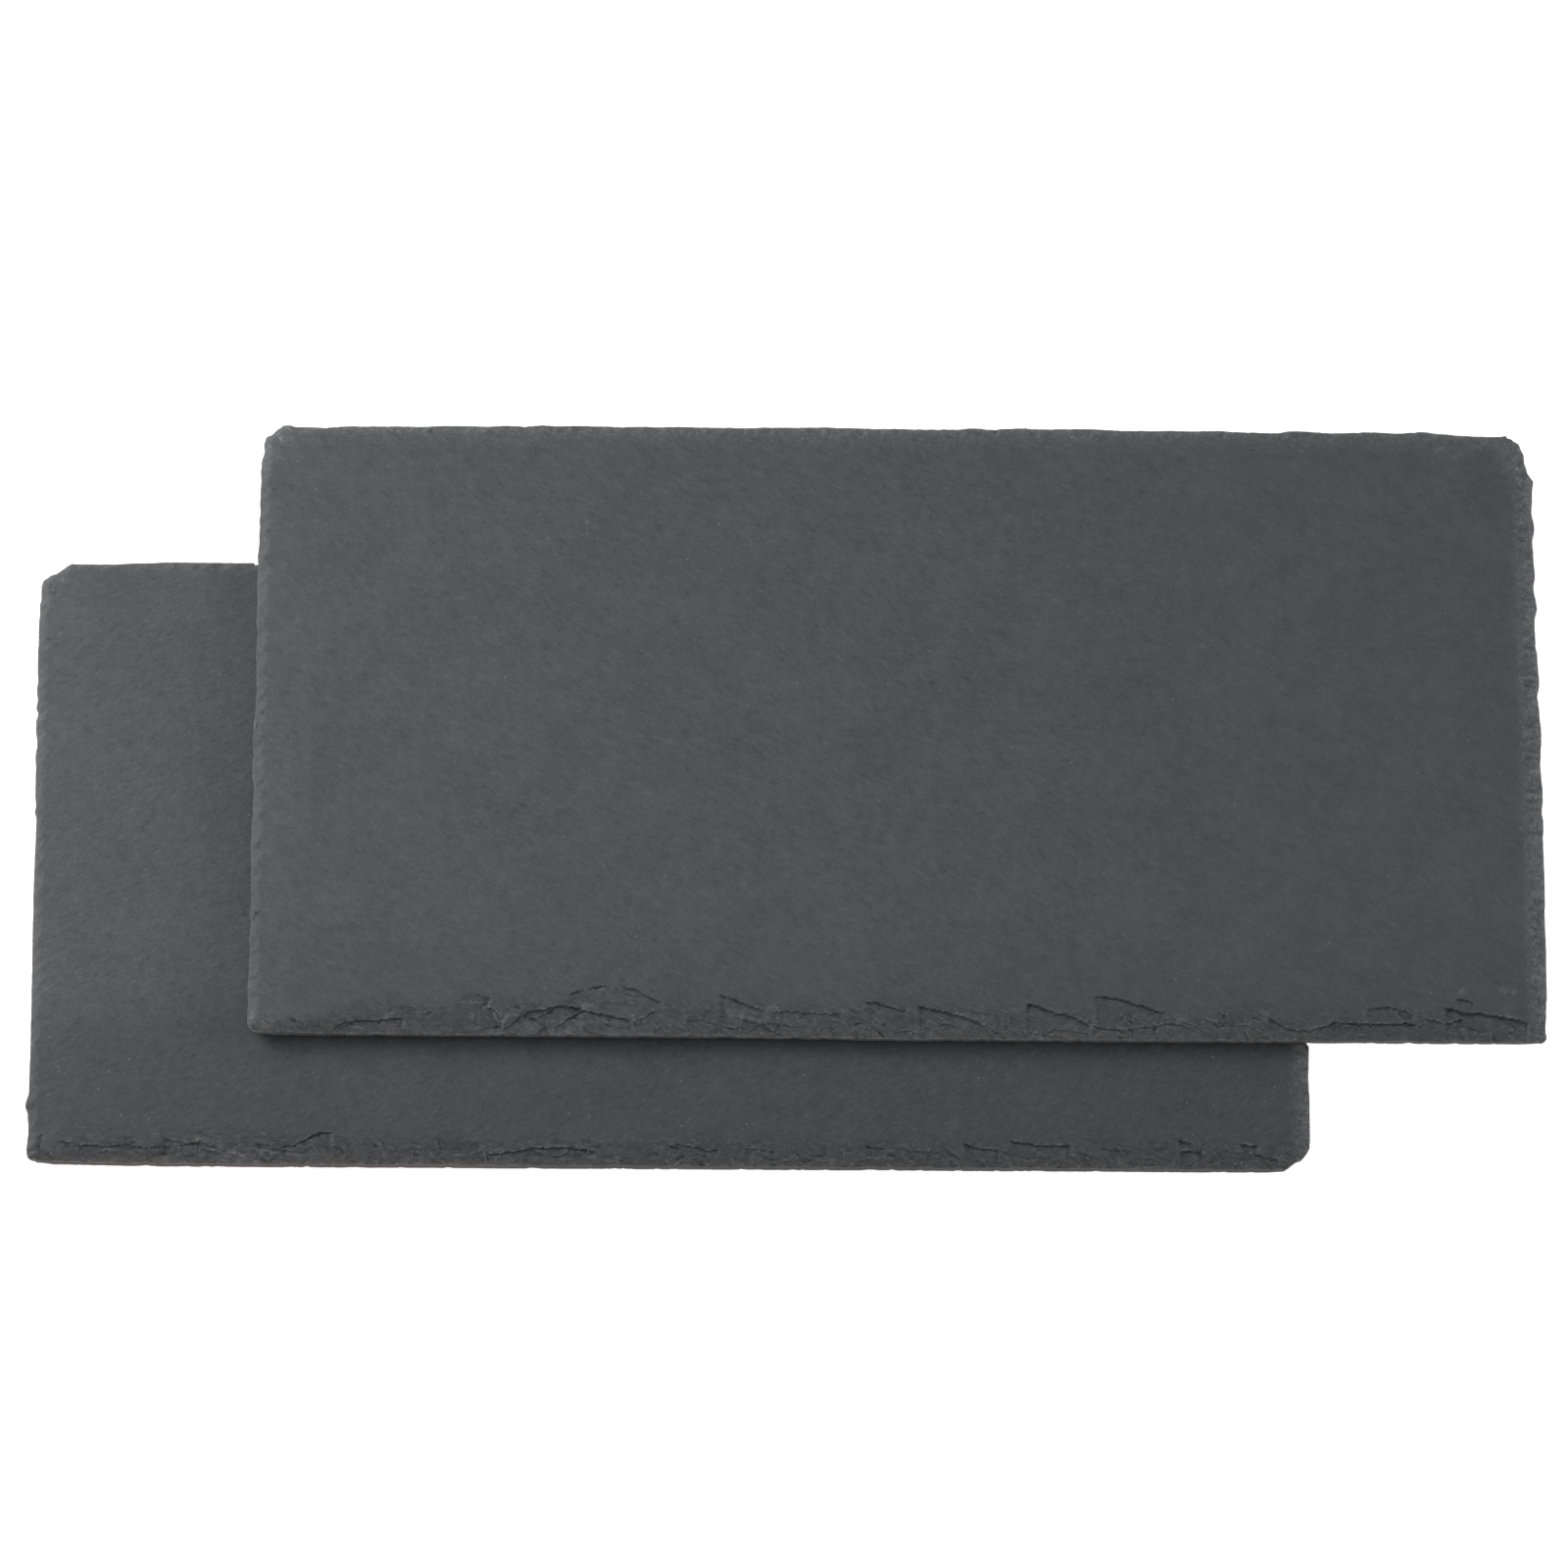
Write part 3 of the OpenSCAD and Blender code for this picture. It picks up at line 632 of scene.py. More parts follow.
def shape_front(edge, board, drop, seed):
    """Gives a front edge its long scars, the plain stretch at its left end, its slow bulge and small bites."""
    plain = PLAIN_START[board]
    edge.reach = settings().boards.front_reach / MM * FRONT_REACH[board] * (1 + 0.2 * edge.noise(14.0, seed))
    edge.reach *= 0.45 + 0.55 * between(edge.places, plain, 2 * plain)
    bulge, begins, full = FRONT_BULGE[board]
    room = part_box(f"{board}_slate")[0].y / MM - board_middle(board)[1] - edge.start[1] - edge.along[1] * edge.places
    edge.bite = np.maximum(room, -bulge * between(edge.places / edge.length, begins, full))
    edge.bite += 0.05 + 0.05 * edge.noise(11.0, seed + 1)
    edge.bite += 0.35 * np.clip(edge.noise(2.2, seed + 2) - 0.1, 0, 1)
    edge.hold_ends()
    edge.rim += 0.25 * drop * np.clip(1.6 - edge.places / plain, 0, 1)


def shape_side(edge, board, rim, seed, random):
    """Gives a right, back or left edge its chips, and the photograph's outline where that shows it."""
    sizes = settings().boards
    largest = getattr(sizes, f"{edge.name}_reach") / MM
    bite = edge.chip(random, sizes.chip_pitch / MM, largest, LEAST_CHIPS[edge.name], sizes.nibble / MM)
    marks = OUTLINE_MARKS.get((board, edge.name))
    if marks:
        edge.take_marks(photo_spots(board, marks, rim if edge.name == "back" else WALL_HEIGHT), seed, bite)
    else:
        edge.bite = bite - bite.mean() * 0.5 + 0.1 * edge.noise(1.4, seed)
        edge.hold_ends()


def shape_clip(clip, board, side, rim, seed, bulge):
    """Gives the clip that ends a side the photograph's outline, or else a bulge with a little roughness."""
    marks = OUTLINE_MARKS.get((board, f"{side} clip"))
    if marks:
        clip.take_marks(photo_spots(board, marks, WALL_HEIGHT if side == "front" else rim), seed)
    else:
        clip.bite = 0.12 * clip.noise(1.3, seed)
        clip.hold_ends()
        clip.bite -= bulge * np.sin(np.pi * clip.places / clip.length)


def board_edges(board):
    """The eight runs of a board's outline, anticlockwise from the front: each side, then the clip that ends it."""
    sizes = settings().boards
    random = np.random.default_rng(sizes.seed + (0 if board == "lower" else 50))
    shapes, corners = CORNER_SHAPES[board], board_corners(board)

    def clip_end(corner, side):
        leg = shapes[corner][2 + side % 2]
        return corners[corner] + SIDE_STEPS[side] * (leg if corner == side else -leg)

    reaches = [getattr(sizes, f"{name}_reach") / MM for name in SIDES]
    edges = []
    for side, name in enumerate(SIDES):
        after = (side + 1) % 4
        drop = getattr(sizes, f"{board}_front_drop" if name == "front" else "side_drop") / MM
        rim = board_thickness(board) - drop
        seed = 17 * side + (3 if board == "upper" else 0)
        edge = DressedEdge(name, clip_end(side, side), clip_end(after, side), rim, CRUSHED_AND_LIT[board][name])
        edge.rim *= 1 + 0.1 * edge.noise(12.0, seed + 5)
        if name == "front":
            shape_front(edge, board, drop, seed)
        else:
            shape_side(edge, board, rim, seed, random)
        clip = DressedEdge("clip", edge.start + edge.along * edge.length, clip_end(after, after), rim, edge.crushed)
        clip.reach += CLIP_REACH * min(reaches[side], reaches[after])
        shape_clip(clip, board, name, rim, seed + 7, shapes[after][4])
        edges += [edge, clip]
    return edges


def flake_regions(board, front):
    """The flakes of a board's front as (step, closed outline, fade at each end), in the board's own mm."""
    thick = board_thickness(board)
    regions = []
    for step, pixels in FLAKES[board]:
        # The face slopes down to the rim, so the line is placed twice: at full height, and where it then lies
        depth = front.measure(*photo_spots(board, pixels, thick).T)[1]
        sunk = 0.7 * (thick - front.rim.mean()) * np.clip(1 - depth / 8, 0, 1) ** 1.3
        spots = photo_spots(board, pixels, thick - sunk)
        depth = front.measure(*spots.T)[1]
        fades = [min(1.6, max(0.3, 0.28 * d)) for d in (depth[0], depth[-1])]
        foot = front.start[1] - 4
        outline = [*map(tuple, spots), (spots[-1][0], foot), (spots[0][0], foot)]
        regions.append((step, outline, fades))
    return regions


def inside(x, y, outline):
    """Which points lie inside a closed outline."""
    within = np.zeros(x.shape, bool)
    for (ax, ay), (bx, by) in zip(outline, outline[1:] + outline[:1]):
        if ay != by:
            within ^= ((ay > y) != (by > y)) & (x < ax + (y - ay) * (bx - ax) / (by - ay))
    return within


def flaked_depth(x, y, regions):
    """How far the broken flakes lower the face at each point, in mm."""
    total = np.zeros_like(x)
    wander_x, wander_y = (at + relief(x, y, stone) for at, stone in zip((x, y), FLAKE_WANDER))
    for step, outline, fades in regions:
        left, right = outline[-1][0], outline[-2][0]
        xs, ys = zip(*outline)
        near = (y < max(ys) + 1) & (x > min(xs) - 1) & (x < max(xs) + 1)
        px, py = wander_x[near], wander_y[near]
        fade = between(px, left, left + fades[0]) * between(px, right, right - fades[1])
        total[near] += STEP_SCALE * step * inside(px, py, outline) * ease(fade)
    return total


def bruised(board, x, y):
    """How far the face is bruised to pale crumbs at each point, from 0 to 1."""
    marks = np.array(BRUISES[board])
    most = np.zeros_like(x)
    for spot, reach in zip(photo_spots(board, marks[:, :2], board_thickness(board) - 0.5), marks[:, 2]):
        near = np.hypot(x - spot[0], y - spot[1]) / reach
        most = np.maximum(most, 0.8 * np.exp(-near * near))
    return most


def face_height(x, y, edges, board):
    """Height of the split and dressed face above the underside, in mm, and how ledged it is, how flaked it is, which
    also sets painted shade, and how crushed it is, which also sets painted light.
    """
    thick = board_thickness(board)
    flakes = flaked_depth(x, y, flake_regions(board, edges[0]))
    drop, crushed = np.zeros_like(x), bruised(board, x, y)
    laid_down = crushed * np.abs(relief(x, y, CRUSHED_GRIT))
    dressed = np.clip(flakes / 0.3, 0, 1)
    ledged, flaked = dressed.copy(), 0.8 * dressed
    for edge in edges:
        along, inward = edge.measure(x, y)
        reach, rim = (np.interp(along, edge.places, values) for values in (edge.reach, edge.rim))
        part = np.clip(1 - inward / reach, 0, 1) ** edge.steepness
        slope, sunk = np.clip(part * 6, 0, 1), 0
        if edge.name == "front":
            sunk = np.minimum(flakes, thick - rim - LEAST_DROP)
            ledged = np.maximum(ledged, slope)
            flaked = np.maximum(flaked, np.clip(part * 2.2, 0, 1))
        drop = np.maximum(drop, sunk + (thick - rim - sunk) * part)
        dressed = np.maximum(dressed, slope)
        pale, fringe, arris = edge.crushed
        pale_here = pale * between(inward, fringe, 0) + arris * between(inward, ARRIS_WIDTH, 0)
        crushed = np.maximum(crushed, pale_here)

    # The broken front is uneven, most so near its rim, where leaves end in cracks, and every dressed edge is rough
    lean = LEAF_LEAN[board]
    run, across = x * math.cos(lean) + y * math.sin(lean), y * math.cos(lean) - x * math.sin(lean)
    laid = thick - drop + ledged * (relief(run / 2.0, across, LEDGES) + relief(run / 1.5, across, FRONT_GRIT))
    laid += (dressed - ledged).clip(0, 1) * relief(x, y, SIDE_GRIT)
    for size, share, seed in CRACKS:
        brink = rough(run / 2.0, across, size, seed, 2)
        patch = np.clip(4 * rough(run / 1.6, across, size * 0.8, seed + 3, 2) - 0.3, 0, 1)
        laid += flaked * settings().boards.leaf / MM * share * patch * np.tanh(brink / 0.05) / 2
    riven = settings().boards.riven_depth / MM * (0.5 + 0.5 * rough(x + 2.2 * y, y * 3.1 - 0.9 * x, 26, 9))
    return np.clip(laid - laid_down - riven * (1 - dressed), LEAST_HEIGHT, thick), ledged, flaked, crushed


def warmth(board, x):
    """How warm the broken rim's stone is at places along X: only the lower board's left half is rusty."""
    return np.full_like(x, 0.15) if board == "upper" else 0.35 + 0.65 * between(x, -25, -50)


def rim_crush_and_painted_light(board, x, y, side_crush_and_light):
    """How pale the wall of the broken rim is: its side's crushed paleness, with painted light along the upper board's
    front but for its right end.
    """
    if board == "lower":
        return side_crush_and_light
    return np.maximum(side_crush_and_light, 0.8 * between(y, *FRONT_WALL) * between(x, UPPER_PAINTED_LIGHT_END, UPPER_PAINTED_LIGHT_END - 6))


def painted_rim_shade(board, x, y):
    """Painted shade on the wall of the broken rim: along the lower front, but for its rusty left, and along the upper's
    right end.
    """
    if board == "lower":
        wall_shade = 0.35 + 0.3 * between(x, -50, -25)
    else:
        wall_shade = 0.45 * between(x, UPPER_PAINTED_LIGHT_END, UPPER_PAINTED_LIGHT_END + 6)
    return between(y, *FRONT_WALL) * wall_shade


def stations_round(edges, insets, inner, pitch):
    """The points round the outline from which the mesh runs inwards, with an array for each of their traits."""
    corner_spans = [max(insets[corner], insets[corner - 1]) for corner in range(4)]
    runs, first = [], 0
    for position, edge in enumerate(edges):
        side, after = position // 2, (position // 2 + 1) % 4
        if edge.name == "clip":
            cuts = max(4, round(edge.length / pitch))
        else:
            cuts = STATIONS_MERGED * math.ceil(edge.length / pitch / STATIONS_MERGED)
        share = np.arange(cuts) / cuts
        at = share * edge.length
        spots = edge.start + edge.along * at[:, None] + edge.inward * np.interp(at, edge.places, edge.bite)[:, None]
        tucked = np.ones(cuts)
        if edge.name == "clip":
            goal = np.repeat(inner[after][None], cuts, 0)
            span = np.full(cuts, corner_spans[after])
            share, number = np.ones(cuts), np.zeros(cuts, int)
        else:
            goal = inner[side] * (1 - share[:, None]) + inner[after] * share[:, None]
            span = np.full(cuts, insets[side])
            for corner, away in ((side, at), (after, edge.length - at)):
                blend = np.clip(away / CORNER_BLEND, 0, 1)
                span = np.maximum(span, corner_spans[corner] + (insets[side] - corner_spans[corner]) * blend)
            number = np.arange(cuts)
        if edge.name == "front":
            tucked -= UPRIGHT_SHARE * np.clip(np.minimum(at, edge.length - at) / UPRIGHT_AFTER, 0, 1)
        runs.append((spots, goal, span, tucked, share, number, np.full(cuts, first), np.full(cuts, side)))
        first += cuts
    traits = ("spots", "goal", "span", "tucked", "share", "number", "first", "side")
    return SimpleNamespace(**{trait: np.concatenate(values) for trait, values in zip(traits, zip(*runs))})


def rings_inwards(stations, insets, inner, pitch):
    """The mesh's rings: a fine band from the outline inwards, then wide rings that merge more and more stations."""
    rings, depths = [], [0.0]
    while depths[-1] < max(insets):
        depths.append(depths[-1] + pitch * (RING_STEP + RING_GROWTH * depths[-1]))
    for depth in depths:
        part = np.minimum(1, depth / stations.span)[:, None]
        rings.append(stations.spots * (1 - part) + stations.goal * part)

    deep, level = 0.0, 0
    reach_in = (settings().boards.width / MM - insets[0] - insets[2]) / 2
    while deep < reach_in - MIDDLE_GAP:
        level = min(level + 1, len(FACE_STEPS))
        deep += FACE_STEPS[level - 1]
        share = stations.share[stations.first + stations.number - stations.number % 2**level][:, None]
        corners = np.array([spot - np.array(sign) * deep for spot, sign in zip(inner, CORNER_SIGNS)])
        rings.append(corners[stations.side] * (1 - share) + corners[(stations.side + 1) % 4] * share)
    return np.array(rings)


def wear_and_shading_masks(board, height, ledged, flaked, crushed, x, y):
    """Where the stone is worn light with a painted highlight, painted with shade in hollows and on the rim's wall,
    broken open, crushed and painted with light, and flaked and painted with shade, from 0 to 1.
    """
    around = (np.roll(height, 1, 1) + np.roll(height, -1, 1)) / 2
    across = height.copy()
    across[1:-1] = (height[2:] + height[:-2]) / 2
    bend = height - (around + across) / 2
    worn = np.clip(bend / WORN_AND_HIGHLIT_BEND, 0, 1) * np.maximum(ledged, np.clip(2 * crushed, 0, 1))
    hollow = np.clip(-bend / SHADED_HOLLOW_BEND, 0, 1) * np.maximum(ledged, 0.6 * np.clip(crushed, 0, 1))
    arris = len(WALL_RINGS)
    worn[:arris] = 0
    # The broken rim's wall gets painted shade in place of the hollows'
    hollow[: arris + 1] = painted_rim_shade(board, x, y)
    rusty = np.clip(1.1 + 2.0 * rough(x, y, 7, 83) - np.arange(RUSTY_RINGS)[:, None] / 2, 0, 1) * (y < RUSTY_Y)
    broken = np.zeros_like(height)
    broken[: arris + 1] = 1
    broken[arris + 1 : arris + 1 + RUSTY_RINGS] = 0.55 * rusty
    broken *= warmth(board, x)
    return {"worn": worn, "hollow": hollow, "broken": broken, "crushed": crushed, "flaked": flaked}


def slate_shape(board):
    """The rings of a slate's mesh from the rim's foot to the middle of its face: places in mm, and masks."""
    pitch = settings().boards.mesh_pitch / MM
    edges = board_edges(board)
    bands = [FRONT_BAND[board], SIDE_BAND, SIDE_BAND, SIDE_BAND]
    insets = [getattr(settings().boards, f"{side}_reach") / MM + band for side, band in zip(SIDES, bands)]
    inner = board_corners(board, insets)
    stations = stations_round(edges, insets, inner, pitch)
    flat = rings_inwards(stations, insets, inner, pitch)
    height, ledged, flaked, crushed = face_height(flat[..., 0], flat[..., 1], edges, board)

    # The broken rim's wall hangs below the outline
    x, y = stations.spots.T
    outward = stations.spots - stations.goal
    outward /= np.maximum(np.hypot(*outward.T), 1e-6)[:, None]
    wall, wall_height = [], []
    for share, tuck in WALL_RINGS:
        drawn_in = tuck * stations.tucked * (1 + 0.8 * rough(x, y, 1.5, 41 + round(share * 10)))
        wall.append(stations.spots - outward * drawn_in[:, None])
        wall_height.append(height[0] * share)
    flat, height = np.concatenate((wall, flat)), np.concatenate((wall_height, height))
    ledged, flaked = (np.concatenate((np.ones((len(wall), len(x))), mask)) for mask in (ledged, flaked))
    # The rim's wall takes its side's crushed paleness, and painted light along the upper front
    crushed = np.concatenate(([rim_crush_and_painted_light(board, x, y, crushed[0])] * len(wall), crushed))
    spots = np.dstack((flat + board_middle(board), height + board_floor(board)))
    return spots, wear_and_shading_masks(board, height, ledged, flaked, crushed, x, y)


def ring_grid(name, spots, masks):
    """Makes a piece of a grid whose rows are rings of spots, in metres, and keeps the masks as its attributes."""
    rows, columns = spots.shape[:2]
    deselect_all()
    bpy.ops.mesh.primitive_grid_add(x_subdivisions=columns, y_subdivisions=rows - 1, size=2)
    piece = bpy.context.object
    piece.name = piece.data.name = name
    mesh = piece.data
    grid = np.zeros(len(mesh.vertices) * 3)
    mesh.vertices.foreach_get("co", grid)
    x, y = grid.reshape(-1, 3).T[:2]
    column = np.rint((x + 1) / 2 * columns).astype(int) % columns
    row = np.rint((y + 1) / 2 * (rows - 1)).astype(int)
    mesh.vertices.foreach_set("co", spots[row, column].ravel())
    for title, values in masks.items():
        mesh.attributes.new(title, "FLOAT", "POINT").data.foreach_set("value", values[row, column])
    mesh.update()
    return piece


def pick(mesh, parts, wanted):
    """Selects only the wanted faces or edges of a mesh in edit mode."""
    bpy.ops.mesh.select_all(action="DESELECT")
    shell = bmesh.from_edit_mesh(mesh)
    for part in getattr(shell, parts):
        if wanted(part):
            part.select_set(True)
    bmesh.update_edit_mesh(mesh)


def dressed_slate(board):
    """Models one slate: a grid wrapped round the outline, ring inside ring, shaped to the split and dressed face."""
    spots, masks = slate_shape(board)
    low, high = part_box(f"{board}_slate")
    piece = ring_grid(f"{board}_dressed_slate", np.clip(spots * MM, np.array(low), np.array(high)), masks)
    split = (low.z + high.z) / 2
    bpy.ops.object.mode_set(mode="EDIT")
    bpy.ops.mesh.select_all(action="SELECT")
    bpy.ops.mesh.remove_doubles(threshold=WELD)
    for upper in (False, True):
        pick(piece.data, "edges", lambda edge: edge.is_boundary and (edge.verts[0].co.z > split) == upper)
        bpy.ops.mesh.edge_face_add()
    bpy.ops.mesh.select_all(action="SELECT")
    bpy.ops.mesh.normals_make_consistent(inside=False)
    bpy.ops.object.mode_set(mode="OBJECT")
    bpy.ops.object.shade_smooth_by_angle(angle=math.radians(38))
    return piece


def feed(socket, value):
    """Links a flow to a socket, or sets the socket to a number, place or colour."""
    if isinstance(value, Flow):
        value.tree.links.new(value.socket, socket)
    elif socket.type == "RGBA":
        socket.default_value = (*value, 1.0)
    else:
        socket.default_value = value


def node(tree, kind, inputs=None, **values):
    made = tree.nodes.new(kind)
    for key, value in values.items():
        setattr(made, key, value)
    for key, value in (inputs or {}).items():
        feed(made.inputs[key], value)
    return made


class Flow:
    """A value that flows through a node tree. Sums, differences and products of flows are math nodes."""

    def __init__(self, socket):
        self.socket = socket
        self.tree = socket.id_data

    def math(self, operation, *values):
        return Flow(node(self.tree, "ShaderNodeMath", dict(enumerate(values)), operation=operation).outputs[0])

    def __add__(self, other):
        return self.math("ADD", self, other)

    def __radd__(self, other):
        return self.math("ADD", other, self)

    def __sub__(self, other):
        return self.math("SUBTRACT", self, other)

    def __rsub__(self, other):
        return self.math("SUBTRACT", other, self)

    def __mul__(self, other):
        return self.math("MULTIPLY", self, other)

    def larger(self, other):
        return self.math("MAXIMUM", self, other)

    def below(self, limit):
        """1 where the value is less than a limit, and 0 elsewhere."""
        return self.math("LESS_THAN", self, limit)

    def fraction(self):
        return self.math("FRACT", self)

    def swing(self, amount):
        """Turns noise about 0.5 into a value about 0 that swings by amount."""
        return (self - 0.5) * amount

    def ramp(self, start, end):
        """From 0 where the value is at start to 1 where it is at end, eased."""
        inputs = {"Value": self, "From Min": start, "From Max": end}
        return Flow(node(self.tree, "ShaderNodeMapRange", inputs, interpolation_type="SMOOTHSTEP").outputs["Result"])

    def noise(self, scale, detail=2.0, roughness=0.5):
        """Noise at the places that flow here."""
        inputs = {"Vector": self, "Scale": scale, "Detail": detail, "Roughness": roughness}
        return Flow(node(self.tree, "ShaderNodeTexNoise", inputs).outputs["Fac"])

    def cells(self, scale):
        """Distance to the nearest point of a scattered grid, and that point's colour, at the places that flow here."""
        made = node(self.tree, "ShaderNodeTexVoronoi", {"Vector": self, "Scale": scale})
        return Flow(made.outputs["Distance"]), Flow(made.outputs["Color"])

    def dots(self, scale, size, share):
        """Round dots in a share of the cells of a scattered grid: 1 inside them and 0 outside."""
        distance, colour = self.cells(scale)
        pick_out = node(self.tree, "ShaderNodeSeparateColor", {"Color": colour})
        return distance.below(size) * Flow(pick_out.outputs["Red"]).below(share)

    def moved(self, kind="POINT", **inputs):
        """The places that flow here, moved, turned and scaled."""
        return Flow(node(self.tree, "ShaderNodeMapping", {"Vector": self, **inputs}, vector_type=kind).outputs[0])


def mix(factor, first, second, blend="MIX"):
    """Mixes two colours by a factor. At least one of the three is a flow."""
    tree = next(value.tree for value in (factor, first, second) if isinstance(value, Flow))
    inputs = {0: factor, 6: first, 7: second}
    return Flow(node(tree, "ShaderNodeMix", inputs, data_type="RGBA", blend_type=blend).outputs[2])


def new_group(name, places, values, outputs):
    """A node group, its inputs as flows by name, and its output sockets. Its values have defaults."""
    group = bpy.data.node_groups.new(name, "ShaderNodeTree")
    for title in places:
        group.interface.new_socket(name=title, in_out="INPUT", socket_type="NodeSocketVector")
    for title, default in values.items():
        socket = group.interface.new_socket(name=title, in_out="INPUT", socket_type="NodeSocketFloat")
        socket.default_value = default
    for title in outputs:
        group.interface.new_socket(name=title, in_out="OUTPUT", socket_type="NodeSocketFloat")
    start, end = node(group, "NodeGroupInput"), node(group, "NodeGroupOutput")
    return group, {title: Flow(start.outputs[title]) for title in (*places, *values)}, end.inputs


def riven_grain_group():
    """Mottle, grain, scarps and pits of split slate: a factor for its colour, a height in mm, and light specks."""
    values = {
        "Mottle": 0.1,
        "Grain": 0.3,
        "Streaks": 0.2,
        "Scarps": 0.03,
        "Speck share": 0.1,
        "Speck clusters": 0.0,
        "Crumbs": 0.0,
    }
    group, given, results = new_group("Riven grain", ("Place", "Streak place"), values, ("Tone", "Height", "Specks"))
    place, streak_place = given["Place"], given["Streak place"]

    clouds, blotches = place.noise(60.0, 3.0), place.noise(260.0, 3.0, 0.55)
    grain = place.noise(2000.0, 2.0, 0.65)
    long_streaks, short_streaks = streak_place.noise(380.0, 3.0, 0.55), streak_place.noise(1000.0, 3.0, 0.65)
    pits = place.dots(800.0, 0.17, 0.14)
    dashes = short_streaks.ramp(0.61, 0.7) - short_streaks.ramp(0.39, 0.3)
    mottle = clouds.swing(0.75) + blotches.swing(0.9) + long_streaks.swing(0.25)
    fine = grain.swing(1.15) + short_streaks.swing(0.95) + dashes * 0.17 + pits * -0.2
    feed(results["Tone"], 1.0 + mottle * given["Mottle"] + fine * given["Grain"])

    # Leaves break off in low scarps, in some patches more than in others
    part = (streak_place.noise(200.0, 3.0, 0.6) * 15.0).fraction()
    fall = part.ramp(0.78, 1.0) - part
    scarps = fall * place.noise(120.0, 2.0).ramp(0.44, 0.62) * given["Scarps"]
    leaves = (long_streaks.swing(0.7) + short_streaks.swing(0.3)) * given["Streaks"]
    tooth, dents = place.noise(1500.0, 3.0, 0.65).swing(0.085), place.noise(420.0, 2.0, 0.5).swing(0.12)
    feed(results["Height"], leaves + scarps + tooth + dents + pits * -0.03)

    share = given["Speck share"] + place.noise(90.0, 2.0).ramp(0.56, 0.7) * given["Speck clusters"]
    large = place.dots(420.0, grain * 0.22, share)
    small = place.dots(1000.0, 0.2, share * 0.8) * 0.6
    feed(results["Specks"], large.larger(small).larger(place.dots(2000.0, 0.32, given["Crumbs"])))
    return group


def edge_wear_and_shading_group():
    """How light an edge is worn with a painted highlight and how dark a hollow is painted with shade, from the piece's
    own masks.
    """
    outputs = ("Light", "Dark", "Broken", "Crushed", "Flaked")
    group, given, results = new_group("Edge wear", ("Place",), {}, outputs)
    worn, hollow, broken, crushed, flaked = (
        Flow(node(group, "ShaderNodeAttribute", attribute_name=mask).outputs["Fac"])
        for mask in ("worn", "hollow", "broken", "crushed", "flaked")
    )
    patches, long_patches = given["Place"].noise(700.0, 2.0), given["Place"].noise(220.0, 2.0)
    fine_patches = given["Place"].noise(1500.0, 2.0, 0.6)
    spread = 0.9 + patches.swing(1.6) + long_patches.swing(1.6) + fine_patches.swing(2.2)
    feed(results["Light"], worn * patches.ramp(0.38, 0.62))
    feed(results["Dark"], hollow)
    feed(results["Broken"], broken)
    feed(results["Crushed"], crushed * spread.larger(0.1))
    feed(results["Flaked"], flaked * long_patches.ramp(0.36, 0.6))
    return group


def group_outputs(tree, name, build, inputs):
    """Puts a shared node group into a tree, and gives its outputs as flows by name."""
    made = node(tree, "ShaderNodeGroup", inputs, node_tree=bpy.data.node_groups.get(name) or build())
    return {socket.name: Flow(socket) for socket in made.outputs}


def new_material(name):
    """A material, the inputs of its shader, and the places in the object's own coordinates."""
    material = bpy.data.materials.new(name)
    material.use_nodes = True
    tree = material.node_tree
    place = Flow(node(tree, "ShaderNodeTexCoord").outputs["Object"])
    return material, tree.nodes["Principled BSDF"].inputs, place


def raise_surface(surface, height, strength, distance):
    """Bumps a shader's surface by a height, whose unit is the distance in metres."""
    bump = node(height.tree, "ShaderNodeBump", {"Height": height, "Strength": strength, "Distance": distance})
    feed(surface["Normal"], Flow(bump.outputs["Normal"]))


